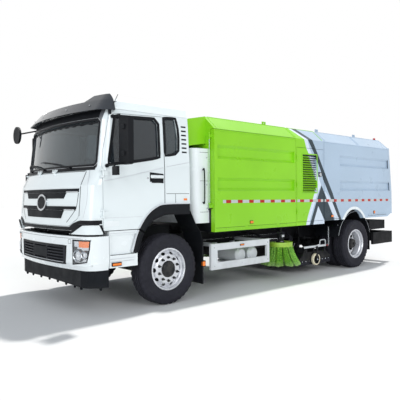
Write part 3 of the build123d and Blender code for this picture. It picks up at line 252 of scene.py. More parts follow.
def livery(name, base_colours):
    """The body's two colours with the dark slanting stripes, worked out from x and z on its side walls;
    painted shade under the body and low on its front face.
    """
    m = Nodes(name, coat_weight=0.12, coat_roughness=0.12, specular_ior_level=0.25)
    green, silver = base_colours
    x, y, z = m.axes()
    x = m.math("SUBTRACT", x, AXLE)

    def beyond(points):
        """1 where x lies ahead of the broken line."""
        return m.above(x, m.curve(z, *LIVERY_Z, *LIVERY_X, points))

    side = m.above(m.math("ABSOLUTE", y), 1.012)
    is_green = beyond([(0.8, -3.10), (1.017, -3.177), (1.158, -3.228), (1.399, -3.35), (1.557, -3.425),
                       (1.738, -3.553), (2.321, -3.263), (2.418, -3.193), (2.59, -3.124), (2.80, -2.93),
                       (3.0, -2.93)])
    behind_front = m.rest(beyond([(0.8, -4.42), (1.094, -4.237), (1.494, -3.97), (1.837, -3.729),
                                  (2.033, -3.635),
                                 (2.318, -3.446), (2.578, -3.244), (2.80, -3.02), (3.0, -3.0)]))
    before_back = beyond([(0.8, -4.50), (1.09, -4.334), (1.493, -4.092), (1.584, -4.045), (1.839, -3.871),
                          (2.036, -3.741), (2.323, -3.556), (2.587, -3.376), (2.80, -3.17), (3.0, -3.1)])
    stripe = m.times(behind_front, before_back)
    leg_front = m.rest(beyond([(0.8, -3.19), (1.089, -3.334), (1.513, -3.547), (1.734, -3.668),
                               (1.76, -4.9)]))
    leg_back = beyond([(0.8, -4.22), (1.059, -4.087), (1.185, -4.022), (1.511, -3.813), (1.734, -3.668),
                       (1.76, -2.6)])
    cut_front = m.rest(beyond([(0.8, -3.31), (1.005, -3.400), (1.085, -3.432), (1.337, -3.558),
                               (1.35, -4.9)]))
    cut_back = beyond([(0.8, -3.92), (1.005, -3.797), (1.337, -3.558), (1.35, -2.6)])
    notch = m.times(cut_front, cut_back)
    mark = m.times(leg_front, leg_back, m.rest(notch))
    pale_front = m.rest(beyond([(0.8, -4.29), (1.025, -4.154), (1.435, -3.849), (1.63, -3.777),
                                (1.65, -4.9)]))
    pale_back = beyond([(0.8, -4.42), (1.025, -4.290), (1.435, -4.011), (1.63, -3.777), (1.65, -2.6)])
    pale = m.math("MAXIMUM", notch, m.times(pale_front, pale_back))
    # a light edge between the green and the silver
    edge = m.math("ABSOLUTE", m.math("SUBTRACT", x, m.curve(z, *LIVERY_Z, *LIVERY_X, [
        (0.8, -3.15), (1.017, -3.227), (1.158, -3.278), (1.399, -3.40), (1.557, -3.475), (1.738, -3.603),
        (2.321, -3.313), (2.418, -3.243), (2.59, -3.174), (2.80, -2.98)])))
    edge = m.below(edge, 0.05)

    broad = m.span(m.noise(1.3, 4.0), 0.3, 0.7)
    tone_green = m.mix(broad, shade(green, 0.94), shade(green, 1.05))
    tone_silver = m.mix(broad, shade(silver, 0.95), shade(silver, 1.04))
    flakes = m.span(m.noise(900.0, 1.0), 0.45, 0.75)
    tone_silver = m.mix(m.times(flakes, 0.25), tone_silver, srgb(225, 232, 240))
    colour = m.mix(is_green, tone_silver, tone_green)
    colour = m.mix(m.times(edge, m.rest(is_green), side), colour, srgb(214, 224, 240))
    colour = m.mix(m.times(pale, side), colour, srgb(206, 218, 232))
    colour = m.mix(m.times(m.math("MAXIMUM", stripe, mark), side), colour, srgb(34, 52, 62))
    # painted shade: dark under the body, below z 1.26 and inside the side walls
    inner = m.times(m.below(m.math("ABSOLUTE", y), 1.0), m.below(z, 1.26))
    colour = m.mix(inner, colour, srgb(40, 42, 45))
    # painted shade: near black on the body's front face low down, in the gap behind the cab
    face = m.times(m.above(x, -0.8465), m.below(z, 1.36))
    colour = m.mix(face, colour, srgb(20, 22, 26))
    grime = m.times(m.span(z, 1.35, 0.95, 0.0, 0.07), m.span(m.noise(5.0, 6.0), 0.4, 0.75))
    m.base(m.mix(grime, colour, srgb(120, 118, 112)))
    m.rough(0.26, 0.38, 3.0)
    height = m.math("ADD", m.noise(220.0, 2.0), m.times(m.noise(4.0, 2.0), 2.0))
    m.bump(height, 0.10, 0.0015)
    return m.material


def cab_paint(name):
    """White enamel with the pressed fold of the cab's side and painted shade below it, painted shade in the
    wheel arches and under the cab, and grey inside.
    """
    m = Nodes(name, coat_weight=0.5, coat_roughness=0.06)
    x, y, z = m.axes()
    x = m.math("SUBTRACT", x, AXLE)
    white = srgb(228, 236, 238)
    tone = m.mix(m.span(m.noise(1.1, 4.0), 0.3, 0.7), shade(white, 0.96), shade(white, 1.02))
    wide = m.math("ABSOLUTE", y)
    belt = m.curve(x, -0.6, 1.5, 1.6, 2.1, [(-0.6, 2.02), (0.137, 1.947), (1.047, 1.75), (1.25, 1.70)])
    above = m.span(m.math("SUBTRACT", z, belt), -0.012, 0.012)
    side = m.above(wide, 1.12)
    # painted shade: the cab's side turns greyer for 0.30 m below the belt crease
    fold = m.times(m.rest(above), side)
    shade_under_crease = m.span(m.math("SUBTRACT", belt, z), 0.0, 0.30, 0.10, 0.0)
    tone = m.mix(m.times(fold, shade_under_crease), tone, srgb(150, 165, 170))
    # painted shade: dark inside the wheel arches and on the cab's underside, darker still low in the arches
    arch = m.times(m.below(wide, 1.13), m.below(z, 1.46), m.below(x, 0.66))
    under = m.times(m.below(z, 1.1115), m.below(wide, 1.19), m.below(x, 1.0))
    dark = m.math("MAXIMUM", arch, under)
    tone = m.mix(dark, tone, srgb(30, 32, 36))
    inner = m.times(m.below(wide, 1.10), m.below(x, 1.10), m.below(z, 2.82), m.above(x, -0.36))
    tone = m.mix(inner, tone, srgb(96, 98, 102))
    tone = m.mix(m.times(arch, m.below(z, 1.30)), tone, srgb(20, 22, 25))
    grime = m.times(m.span(z, 1.5, 1.05, 0.0, 0.10), m.span(m.noise(7.0, 6.0), 0.45, 0.75))
    m.base(m.mix(grime, tone, srgb(140, 140, 134)))
    m.rough(0.16, 0.26, 3.0)
    press = m.times(above, side, 5.0)
    height = m.math("ADD", m.noise(260.0, 2.0), m.times(m.noise(3.0), 2.0))
    m.bump(m.math("ADD", height, press), 0.12, 0.0015)
    return m.material


def glass_finish(name, tint, through):
    m = Nodes(name, transmission_weight=through, ior=1.48, coat_weight=0.2)
    m.base(m.mix(m.span(m.noise(1.5, 3.0), 0.3, 0.7), shade(tint, 0.85), tint))
    m.rough(0.015, 0.05, 2.0)
    m.bump(m.noise(1.2, 2.0), 0.05, 0.01)
    return m.material


def bristle_finish(name):
    m = Nodes(name, specular_ior_level=0.35)
    strand = m.noise(55.0, 2.0)
    colour = m.mix(m.span(strand, 0.35, 0.65), srgb(52, 128, 30), srgb(150, 205, 70))
    z = m.axes()[2]
    m.base(m.mix(m.span(z, 0.36, 0.26, 0.0, 0.45), colour, srgb(186, 196, 160)))
    m.rough(0.45, 0.65, 20.0)
    m.bump(m.noise(300.0), 0.2, 0.001)
    return m.material


def lens_finish(name, colour, through=0.35, **constants):
    """Moulded lens plastic with fine ribs."""
    m = Nodes(name, transmission_weight=through, ior=1.49, coat_weight=0.4, **constants)
    wave = m.node("ShaderNodeTexWave", wave_type="BANDS", bands_direction="DIAGONAL")
    m.put(wave.inputs["Vector"], m.place)
    wave.inputs["Scale"].default_value = 60.0
    m.base(m.mix(wave.outputs["Fac"], shade(colour, 0.85), colour))
    m.rough(0.06, 0.14, 8.0)
    m.bump(wave.outputs["Fac"], 0.25, 0.001)
    return m.material


def strip_finish(name, colour):
    """Retroreflective sheet: a honeycomb under a clear face."""
    m = Nodes(name, coat_weight=0.15, coat_roughness=0.12, specular_ior_level=0.25)
    cells = m.node("ShaderNodeTexVoronoi", feature="DISTANCE_TO_EDGE")
    m.put(cells.inputs["Vector"], m.place)
    cells.inputs["Scale"].default_value = 180.0
    m.base(m.mix(m.span(cells.outputs["Distance"], 0.0, 0.12), shade(colour, 0.8), colour))
    m.rough(0.2, 0.35, 30.0)
    m.bump(cells.outputs["Distance"], 0.2, 0.0005)
    return m.material


def make_materials():
    green, silver = srgb(138, 207, 34), srgb(168, 188, 208)
    return {
        "livery": livery("body_livery", (green, silver)),
        "green": simple("green_enamel", green, 0.28, 0.4, 0.06, 1.3, 220.0, 0.10, coat_weight=0.12,
                        coat_roughness=0.12, specular_ior_level=0.25),
        "silver": simple("silver_enamel", silver, 0.24, 0.36, 0.06, 1.3, 400.0, 0.10, dust=0.15, dust_top=1.3,
                         coat_weight=0.35, coat_roughness=0.12),
        "cab": cab_paint("cab_enamel"),
        "white": simple("white_enamel", srgb(232, 238, 240), 0.2, 0.3, 0.04, 1.5, 220.0, 0.08,
                        coat_weight=0.4,
                        coat_roughness=0.08),
        "visor": simple("visor_acrylic", srgb(38, 44, 52), 0.14, 0.24, 0.1, 3.0, 90.0, 0.03, coat_weight=0.2,
                        specular_ior_level=0.3),
        "trim": simple("black_trim", srgb(21, 23, 27), 0.45, 0.6, 0.15, 8.0, 700.0, 0.25,
                       specular_ior_level=0.14),
        "valance": simple("valance_black", srgb(19, 22, 27), 0.5, 0.65, 0.15, 5.0, 160.0, 0.2, dust=0.1,
                          dust_top=0.45,
                          specular_ior_level=0.12),
        "mesh": simple("grille_black", srgb(33, 35, 42), 0.45, 0.6, 0.1, 8.0, 500.0, 0.25,
                       specular_ior_level=0.14),
        "chassis": simple("chassis_paint", srgb(20, 21, 24), 0.5, 0.7, 0.2, 4.0, 90.0, 0.2, dust=0.12,
                          dust_top=0.7,
                          specular_ior_level=0.12),
        "iron": simple("axle_iron", srgb(30, 32, 36), 0.5, 0.7, 0.2, 12.0, 60.0, 0.5, dust=0.15, metallic=0.1,
                       specular_ior_level=0.2),
        "rubber": simple("tyre_rubber", srgb(40, 40, 47), 0.62, 0.8, 0.14, 14.0, 380.0, 0.35,
                         specular_ior_level=0.16),
        "rim": simple("rim_paint", srgb(214, 216, 222), 0.24, 0.38, 0.08, 6.0, 200.0, 0.08, dust=0.1,
                      dust_top=0.3,
                      metallic=0.45),
        "steel": simple("bright_steel", srgb(190, 194, 198), 0.18, 0.32, 0.08, 30.0, 240.0, 0.06,
                        metallic=0.95),
        "glass": glass_finish("window_glass", srgb(122, 136, 142), 0.82),
        "side_glass": glass_finish("side_glass", srgb(84, 94, 102), 0.72),
        "mirror": simple("mirror_face", srgb(200, 206, 212), 0.02, 0.05, 0.03, 1.0, 40.0, 0.0, metallic=1.0),
        "interior": simple("interior_grey", srgb(72, 74, 78), 0.55, 0.75, 0.12, 6.0, 420.0, 0.3),
        "guard": simple("guard_paint", srgb(206, 210, 214), 0.35, 0.5, 0.08, 4.0, 150.0, 0.12, dust=0.35,
                        dust_top=0.8),
        "tank": simple("tank_paint", srgb(214, 218, 222), 0.25, 0.4, 0.08, 5.0, 180.0, 0.1, dust=0.3,
                       dust_top=0.7),
        "gear": simple("gear_black", srgb(24, 26, 29), 0.45, 0.65, 0.18, 9.0, 110.0, 0.25, dust=0.18,
                       dust_top=0.8,
                       specular_ior_level=0.16),
        "nozzle": simple("nozzle_black", srgb(26, 27, 31), 0.5, 0.68, 0.18, 7.0, 140.0, 0.3, dust=0.2,
                         dust_top=0.5,
                         specular_ior_level=0.14),
        "bristle": bristle_finish("bristle_green"),
        "ring": simple("ring_green", srgb(150, 190, 60), 0.35, 0.5, 0.12, 14.0, 160.0, 0.15),
        "cream": simple("caster_cream", srgb(222, 212, 186), 0.5, 0.65, 0.12, 20.0, 220.0, 0.2),
        "amber": lens_finish("amber_lens", srgb(250, 128, 8), 0.0),
        "red_lens": lens_finish("red_lens", srgb(190, 18, 16), 0.0),
        "clear": lens_finish("clear_lens", srgb(220, 228, 232), 0.85),
        "bulb": simple("lamp_bulb", srgb(244, 246, 248), 0.05, 0.12, 0.02, 20.0, 30.0, 0.0, coat_weight=1.0),
        "cover": lens_finish("lamp_cover", srgb(236, 240, 244), 0.0, alpha=0.16),
        "bowl": simple("reflector_bowl", srgb(205, 210, 216), 0.08, 0.16, 0.04, 20.0, 30.0, 0.02,
                       metallic=1.0),
        "strip_red": strip_finish("strip_red", srgb(178, 24, 8)),
        "strip_white": strip_finish("strip_white", srgb(192, 196, 196)),
        "dark_red": simple("dark_red", srgb(110, 34, 34), 0.4, 0.55, 0.15, 12.0, 160.0, 0.15),
    }


# ---------------------------------------------------------------- mesh building
class Piece:
    """Gathers faces of several finishes into one object that rides on a body."""

    def __init__(self, name, body, slot, side=1, replaces=()):
        self.name, self.body, self.slot, self.side, self.gone = name, body, slot, side, replaces
        self.verts, self.faces, self.marks, self.finishes = [], [], [], []

    def add(self, verts, faces, finish):
        if finish not in self.finishes:
            self.finishes.append(finish)
        mark, start = self.finishes.index(finish), len(self.verts)
        self.verts += [tuple(v) for v in verts]
        for face in faces:
            self.faces.append([start + i for i in face])
            self.marks.append(mark)

    def prism(self, points, axis, lo, hi, finish, bevel=0.0):
        """An outline in the two other axes (in x, y, z order), from lo to hi, with its rims bevelled."""
        area = sum(a[0] * b[1] - b[0] * a[1] for a, b in zip(points, points[1:] + points[:1]))
        if (area < 0) != (axis == "y"):
            points = points[::-1]
        lo, hi = min(lo, hi), max(lo, hi)
        rings = [(lo, bevel), (lo + bevel, 0), (hi - bevel, 0), (hi, bevel)] if bevel else [(lo, 0), (hi, 0)]
        n = len(points)
        verts = []
        for level, inset in rings:
            for a, b in (shrunk(points, inset) if inset else points):
                verts.append({"x": (level, a, b), "y": (a, level, b), "z": (a, b, level)}[axis])
        faces = [[r * n + i, r * n + (i + 1) % n, (r + 1) * n + (i + 1) % n, (r + 1) * n + i]
                 for r in range(len(rings) - 1) for i in range(n)]
        faces.append(list(range(n))[::-1])
        faces.append([(len(rings) - 1) * n + i for i in range(n)])
        self.add(verts, faces, finish)

    def block(self, x0, x1, y0, y1, z0, z1, finish, bevel=0.003):
        """A block with softened edges along Z and at its ends."""
        x0, x1 = min(x0, x1), max(x0, x1)
        y0, y1 = min(y0, y1), max(y0, y1)
        c = min(bevel, (x1 - x0) / 3, (y1 - y0) / 3, (z1 - z0) / 3)
        points = [(x0 + c, y0), (x1 - c, y0), (x1, y0 + c), (x1, y1 - c), (x1 - c, y1), (x0 + c, y1),
                  (x0, y1 - c),
                  (x0, y0 + c)]
        self.prism(points, "z", z0, z1, finish, c)

    def lathe(self, profile, centre, axis, finish, segments=32, closed=True):
        """A (radius, along) profile turned about an axis through the centre."""
        along = Vector(axis).normalized()
        u = along.orthogonal().normalized()
        v = along.cross(u)
        n = len(profile)
        verts = []
        for i in range(segments):
            a = 2 * math.pi * i / segments
            out = u * math.cos(a) + v * math.sin(a)
            verts += [Vector(centre) + out * r + along * t for r, t in profile]
        faces = []
        for i in range(segments):
            j = (i + 1) % segments
            for k in range(n if closed else n - 1):
                m = (k + 1) % n
                faces.append([i * n + k, i * n + m, j * n + m, j * n + k])
        area = sum(a[0] * b[1] - b[0] * a[1] for a, b in zip(profile, profile[1:] + profile[:1]))
        if area > 0:
            faces = [f[::-1] for f in faces]
        self.add(verts, [tidy(f, verts) for f in faces if len(tidy(f, verts)) > 2], finish)

    def tube(self, points, radius, finish, segments=10, smooth=True):
        """A round tube through the points."""
        path = rounded(points) if smooth and len(points) > 2 else [Vector(p) for p in points]
        verts, last = [], None
        for i, p in enumerate(path):
            run = (path[min(i + 1, len(path) - 1)] - path[max(i - 1, 0)]).normalized()
            u = (last - run * last.dot(run)).normalized() if last else run.orthogonal().normalized()
            last, v = u, run.cross(u)
            for k in range(segments):
                a = 2 * math.pi * k / segments
                verts.append(p + (u * math.cos(a) + v * math.sin(a)) * radius)
        faces = [[i * segments + k, i * segments + (k + 1) % segments,
                  (i + 1) * segments + (k + 1) % segments,
                  (i + 1) * segments + k] for i in range(len(path) - 1) for k in range(segments)]
        faces.append(list(range(segments))[::-1])
        faces.append([(len(path) - 1) * segments + k for k in range(segments)])
        self.add(verts, faces, finish)

    def bolt(self, place, normal, radius, finish="steel"):
        """A hexagon head on its washer."""
        h = radius * 0.7
        self.lathe([(0, 0), (radius * 1.25, 0), (radius * 1.25, h * 0.3), (0, h * 0.3)], place, normal,
                   finish, 16, False)
        self.lathe([(0, h * 0.3), (radius, h * 0.3), (radius, h), (radius * 0.85, h * 1.25), (0, h * 1.25)],
                   place, normal, finish, 6, False)

    def mesh(self, angle):
        """The faces as a mesh, mirrored for the right side, sharp where they meet past the angle."""
        verts, faces = self.verts, self.faces
        if self.side < 0:
            verts = [(x, -y, z) for x, y, z in verts]
            faces = [f[::-1] for f in faces]
        mesh = bpy.data.meshes.new(self.name)
        mesh.from_pydata(verts, [], faces)
        for finish in self.finishes:
            mesh.materials.append(M[finish])
        for polygon, mark in zip(mesh.polygons, self.marks):
            polygon.material_index, polygon.use_smooth = mark, True
        mesh.validate()
        mesh.set_sharp_from_angle(angle=math.radians(angle))
        return mesh

    def done(self, angle=35):
        placed(self.name, self.mesh(angle), self.body, self.slot, self.gone)


def placed(name, mesh, body, slot, gone=()):
    """An object on its body, in place of the nodes it stands for."""
    made = bpy.data.objects.new(name, mesh)
    bpy.context.scene.collection.objects.link(made)
    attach(made, body)
    if gone:
        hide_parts(*gone)


def tidy(face, verts):
    """A face without its doubled corners."""
    kept = []
    for i in face:
        if not kept or (Vector(verts[i]) - Vector(verts[kept[-1]])).length > 1e-7:
            kept.append(i)
    if len(kept) > 2 and (Vector(verts[kept[0]]) - Vector(verts[kept[-1]])).length <= 1e-7:
        kept.pop()
    return kept


def shrunk(points, inset):
    """An outline moved inwards."""
    area = sum(a[0] * b[1] - b[0] * a[1] for a, b in zip(points, points[1:] + points[:1]))
    turn = 1 if area > 0 else -1
    result = []
    for i, p in enumerate(points):
        p = Vector(p)
        before = (p - Vector(points[i - 1])).normalized()
        after = (Vector(points[(i + 1) % len(points)]) - p).normalized()
        n0 = Vector((-before.y, before.x)) * turn
        n1 = Vector((-after.y, after.x)) * turn
        n = (n0 + n1).normalized()
        result.append(tuple(p + n * inset / max(0.4, n.dot(n0))))
    return result


def rounded(points, steps=6):
    """A smooth path through the points."""
    p = [Vector(q) for q in points]
    p = [2 * p[0] - p[1]] + p + [2 * p[-1] - p[-2]]
    path = []
    for i in range(1, len(p) - 2):
        for k in range(steps):
            t = k / steps
            path.append(0.5 * (2 * p[i] + (p[i + 1] - p[i - 1]) * t
                               + (2 * p[i - 1] - 5 * p[i] + 4 * p[i + 1] - p[i + 2]) * t * t
                               + (3 * p[i] - p[i - 1] - 3 * p[i + 1] + p[i + 2]) * t ** 3))
    path.append(p[-2])
    return path


def arc_points(cx, cz, r, a0, a1, n):
    return [(cx + r * math.cos(math.radians(a0 + (a1 - a0) * i / n)),
             cz + r * math.sin(math.radians(a0 + (a1 - a0) * i / n))) for i in range(n + 1)]


def circle(count, start=0.0):
    """The cosine and sine of each of count even steps round a circle."""
    turns = [2 * math.pi * (k + start) / count for k in range(count)]
    return [(math.cos(a), math.sin(a)) for a in turns]


# ---------------------------------------------------------------- wheels
TYRE_R = 0.506
LUG_CUT, TREAD_CUT, GROOVE_SWAY = 0.0085, 0.0035, 0.0025
FRONT_Y, REAR_Y, TWIN = 1.070, 1.070, 0.340


def tyre_mesh():
    """A truck tyre about the origin, its axle along Y: grooved tread, cut shoulders, ribbed side walls."""
    half = [(0.2885, 0.100), (0.296, 0.112), (0.312, 0.1165), (0.322, 0.1225), (0.345, 0.129),
            (0.350, 0.1315),
            (0.354, 0.1315), (0.358, 0.1325), (0.385, 0.1365), (0.408, 0.1375), (0.430, 0.1365),
            (0.434, 0.1382),
            (0.440, 0.1382), (0.444, 0.1355), (0.462, 0.131), (0.476, 0.1265), (0.492, 0.120),
            (0.5005, 0.1115),
            (0.504, 0.098)]
    grooves = []
    for centre in (0.074, 0.026):
        grooves += [(0.5055, centre + 0.009), (0.4925, centre + 0.0055), (0.4925, centre - 0.0055),
                    (0.5055, centre - 0.009)]
    half += grooves
    profile = [(r, -y) for r, y in half] + [(r, y) for r, y in reversed(half)]
    inside = [(0.300, 0.085), (0.300, -0.085)]
    ring = profile + inside
    steps = 144
    verts, faces = [], []
    n = len(ring)
    for i in range(steps):
        phase = i % 4
        for k, (r, y) in enumerate(ring):
            a = 2 * math.pi * i / steps
            cut = phase in (0, 1) and k < len(profile)
            if cut and 0.470 < r and abs(y) > 0.095:
                r -= LUG_CUT
                y *= 0.982
            elif cut and r > 0.505 and phase == 0:
                r -= TREAD_CUT
            if k < len(profile) and 0.03 < abs(y) < 0.09 and r > 0.49:
                y += GROOVE_SWAY * math.sin(i * math.pi / 4)
            verts.append((r * math.cos(a), y, r * math.sin(a)))
    for i in range(steps):
        j = (i + 1) % steps
        for k in range(n):
            faces.append([i * n + k, j * n + k, j * n + (k + 1) % n, i * n + (k + 1) % n])
    piece = Piece("tyre", "root", "tyre_rubber")
    piece.add(verts, faces, "rubber")
    return piece.mesh(38)


def rim_piece(piece, plane_y, disc_y, out, hub_end, nuts_out):
    """A pressed steel rim with ten hand holes. The disc faces `out` (+1 or -1 along Y)."""
    axis = (0, 1, 0)
    barrel = [(0.2875, -0.1085), (0.2980, -0.1085), (0.3025, -0.1145), (0.2975, -0.1180), (0.2835, -0.1180),
              (0.2765, -0.108), (0.2725, -0.070), (0.2560, -0.055), (0.2560, 0.055), (0.2725, 0.070),
              (0.2765, 0.108),
              (0.2835, 0.1180), (0.2975, 0.1180), (0.3025, 0.1145), (0.2980, 0.1085), (0.2875, 0.1085),
              (0.2860, 0.072), (0.2700, 0.050), (0.2700, -0.050), (0.2860, -0.072)]
    piece.lathe(barrel, (0, plane_y, 0), axis, "rim", 64)
    slope = (disc_y - plane_y) * 0.55
    inner_r, outer_r = 0.196, 0.2585
    y_in, y_out = disc_y, plane_y + slope
    thick = 0.011 * out
    piece.lathe([(0.112, y_in), (inner_r, y_in), (inner_r, y_in - thick), (0.112, y_in - thick)], (0, 0, 0),
                axis,
                "rim", 60)
    holes, around = 10, 24

    def at(r, angle, back=False):
        t = (r - inner_r) / (outer_r - inner_r)
        y = y_in + (y_out - y_in) * t * t * (3 - 2 * t)
        y -= thick if back else 0
        return (r * math.cos(angle), y, r * math.sin(angle))

    for h in range(holes):
        middle = 2 * math.pi * h / holes
        half = math.pi / holes
        corner = [(inner_r + (outer_r - inner_r) * i / 6, middle + half) for i in range(6)]
        corner += [(outer_r, middle + half - 2 * half * i / 6) for i in range(6)]
        corner += [(outer_r - (outer_r - inner_r) * i / 6, middle - half) for i in range(6)]
        corner += [(inner_r, middle - half + 2 * half * i / 6) for i in range(6)]
        mid_r = (inner_r + outer_r) / 2 + 0.002
        hole = []
        for r, a in corner:
            turn = math.atan2((a - middle) * mid_r * 0.42, r - mid_r)
            hole.append((mid_r + 0.0205 * math.cos(turn), middle + 0.033 * math.sin(turn) / mid_r))
        verts = [at(r, a) for r, a in corner] + [at(r, a) for r, a in hole]
        verts += [at(r, a, True) for r, a in corner] + [at(r, a, True) for r, a in hole]
        faces = []
        for i in range(around):
            j = (i + 1) % around
            faces.append([i, j, around + j, around + i])
            faces.append([around + i, around + j, 3 * around + j, 3 * around + i])
            faces.append([2 * around + j, 2 * around + i, 3 * around + i, 3 * around + j])
        if out < 0:
            faces = [f[::-1] for f in faces]
        piece.add(verts, faces, "rim")
    for c, d in circle(10, 0.5):
        spot = (0.1675 * c, disc_y, 0.1675 * d)
        piece.lathe([(0, 0), (0.021, 0), (0.021, 0.005), (0.0155, 0.006), (0.0155, 0.026), (0.012, 0.030),
                     (0.010, 0.042),
                     (0, 0.043)], spot, (0, nuts_out, 0), "iron", 10, False)
    reach = hub_end - disc_y
    piece.lathe([(0, 0), (0.120, 0), (0.118, reach * 0.25), (0.108, reach * 0.3), (0.104, reach * 0.82),
                 (0.092, reach * 0.97), (0.030, reach), (0.028, reach * 0.9), (0, reach * 0.9)],
                (0, disc_y, 0), axis,
                "iron", 40, False)
    for c, d in circle(8):
        piece.bolt((0.078 * c, hub_end - 0.002 * out, 0.078 * d), (0, math.copysign(1, reach), 0), 0.008,
                   "iron")


def wheels():
    tyre = tyre_mesh()
    front = Piece("front_rim_form", "root", "rim_paint")
    rim_piece(front, FRONT_Y, FRONT_Y + 0.096, 1, FRONT_Y + 0.128, 1)
    rear = Piece("rear_rim_form", "root", "rim_paint")
    mating = REAR_Y - TWIN / 2
    rim_piece(rear, REAR_Y, mating, -1, REAR_Y + 0.058, 1)
    rim_piece(rear, REAR_Y - TWIN, mating - 0.002, 1, mating - 0.040, -1)
    rear.lathe([(0.06, mating - 0.04), (0.205, mating - 0.04), (0.205, mating - 0.23), (0.165, mating - 0.23),
                (0.165, mating - 0.07), (0.06, mating - 0.07)], (0, 0, 0), (0, 1, 0), "iron", 48)
    front, rear = front.mesh(40), rear.mesh(40)
    for side, s in SIDES:
        turn = 0 if s > 0 else math.pi
        for name, body, mesh, x, y, gone in (
            (f"tyre_front_{side}", f"front_wheel_{side}", tyre, X(0), FRONT_Y, (f"front_tyre_{side}",)),
            (f"tyre_outer_{side}", f"rear_wheels_{side}", tyre, X(REAR_AXLE), REAR_Y,
             (f"rear_tyres_{side}",)),
            (f"tyre_inner_{side}", f"rear_wheels_{side}", tyre, X(REAR_AXLE), REAR_Y - TWIN,
             (f"rear_tyres_{side}",)),
            (f"wheel_front_{side}", f"front_wheel_{side}", front, X(0), 0, (f"front_rim_{side}",)),
            (f"wheel_rear_{side}", f"rear_wheels_{side}", rear, X(REAR_AXLE), 0, (f"rear_rims_{side}",)),
        ):
            made = bpy.data.objects.new(name, mesh)
            bpy.context.scene.collection.objects.link(made)
            made.location = (x, s * y, TYRE_R)
            made.rotation_euler = (0, 0, turn)
            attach(made, body)
            "tyre_rubber" if "tyre" in name else "rim_paint"
            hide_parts(*gone)


def merge(piece, other, side):
    """Adds another piece's faces, mirrored when side is -1."""
    verts = [(x, y * side, z) for x, y, z in other.verts]
    for mark, finish in enumerate(other.finishes):
        faces = [f if side > 0 else f[::-1] for f, m in zip(other.faces, other.marks) if m == mark]
        piece.add(verts, faces, finish)


def bowed(y, front, half, radius, corner):
    """A face bowed by a wide radius and turned back by a corner radius, at y from the middle."""
    bow_x = front - radius
    reach = radius - corner
    corner_y = half - corner
    corner_x = bow_x + math.sqrt(reach ** 2 - corner_y ** 2)
    meet_y = corner_y * radius / reach
    if y <= meet_y:
        return X(bow_x + math.sqrt(radius ** 2 - y ** 2))
    return X(corner_x + math.sqrt(max(corner ** 2 - (y - corner_y) ** 2, 0)))


def face_x(y):
    """The bumper's front face at a distance from the middle."""
    return bowed(abs(y), 1.400, 1.204, 5.2, 0.215)


# height, front, half width, bow radius and corner radius
CAB_LEVELS = (
    (1.110, 1.380, 1.198, 5.2, 0.200), (1.500, 1.350, 1.200, 5.2, 0.200), (1.700, 1.335, 1.200, 5.2, 0.195),
    (1.950, 1.255, 1.200, 3.7, 0.165), (2.560, 1.185, 1.165, 3.7, 0.150), (2.700, 1.130, 1.150, 3.7, 0.150),
    (2.820, 1.020, 1.105, 3.7, 0.150), (2.900, 0.820, 1.000, 3.7, 0.150),
)


def cab_level(z):
    z = min(max(z, CAB_LEVELS[0][0]), CAB_LEVELS[-1][0])
    for low, high in zip(CAB_LEVELS, CAB_LEVELS[1:]):
        if z <= high[0]:
            t = (z - low[0]) / (high[0] - low[0])
            return [a + (b - a) * t for a, b in zip(low[1:], high[1:])]
    return list(CAB_LEVELS[-1][1:])


def cab_x(y, z):
    """The cab's front surface."""
    front, half, radius, corner = cab_level(z)
    return bowed(min(abs(y), half - 0.002), front, half, radius, corner)


def cab_y(z):
    """Half the cab's width at a height."""
    return cab_level(z)[1]


M = make_materials()
set_camera()
set_light()


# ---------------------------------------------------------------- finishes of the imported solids
FINISH = {
    "frame_rails": "chassis", "cross_members": "chassis", "front_axle": "iron", "rear_axle": "iron",
    "drive_units": "gear", "air_tanks": "tank", "side_guards": "guard", "front_bumper": "white",
    "bumper_grille": "mesh", "spray_bar": "valance", "cab_steps": "white", "mudguards": "trim",
          "fairing": "white",
    "equipment_body": "livery", "underframe": "chassis", "cab_shell": "cab", "cab_glass": "glass",
    "cab_interior": "interior", "sun_visor": "visor", "front_mirror": "trim", "front_hatch": "cab",
    "hatch_grilles": "valance", "hopper": "livery", "tailgate": "silver", "lift_barrel": "gear",
          "lift_rod": "steel",
    "suction_nozzle": "nozzle", "cab_door": "cab", "door_glass": "side_glass", "door_mirror": "trim",
          "knuckle": "iron",
    "side_door": "livery", "louvre_door": "livery", "brush_arm": "gear", "brush_head": "gear",
          "brush_disc": "bristle",
    "caster": "cream", "front_tyre": "rubber", "rear_tyres": "rubber", "front_rim": "rim", "rear_rims": "rim",
    "lamps": "clear",
}


def finish_nodes():
    for name, node in nodes.items():
        kind = name.rsplit("_", 1)[0] if name.endswith(("_left", "_right")) else name
        finish = M[FINISH[kind]]
        if node.material_slots:
            for place in node.material_slots:
                place.material = finish
        else:
            node.data.materials.append(finish)


def floor():
    m = Nodes("studio_floor", specular_ior_level=0.1)
    m.base(m.mix(m.span(m.noise(0.8), 0.3, 0.7), (0.80, 0.80, 0.80, 1), (0.82, 0.82, 0.82, 1)))
    m.rough(0.85, 0.95)
    mesh = bpy.data.meshes.new("floor")
    size = 60
    mesh.from_pydata([(-size, -size, 0), (size, -size, 0), (size, size, 0), (-size, size, 0)], [],
                     [[0, 1, 2, 3]])
    mesh.materials.append(m.material)
    made = bpy.data.objects.new("floor", mesh)
    bpy.context.scene.collection.objects.link(made)


# ---------------------------------------------------------------- the body's side
RED = [(-1.09, -1.20), (-1.355, -1.465), (-1.62, -1.73), (-1.89, -2.00), (-2.16, -2.27), (-2.44, -2.55),
       (-2.714, -2.842),
       (-2.99, -3.111), (-3.278, -3.385), (-3.546, -3.641), (-3.819, -3.924), (-4.084, -4.187),
       (-4.338, -4.441)]
RED += [(c + 0.055, c - 0.055) for c in (-4.662, -4.93, -5.191, -5.444, -5.697, -5.958, -6.223)]


STRIP_TOP, STRIP_DROP, STRIP_RUN = 1.458, 0.038, 5.3


def strip_z(x):
    """The height of the strip's middle, which falls towards the back."""
    return STRIP_TOP - STRIP_DROP * (-1.0 - x) / STRIP_RUN


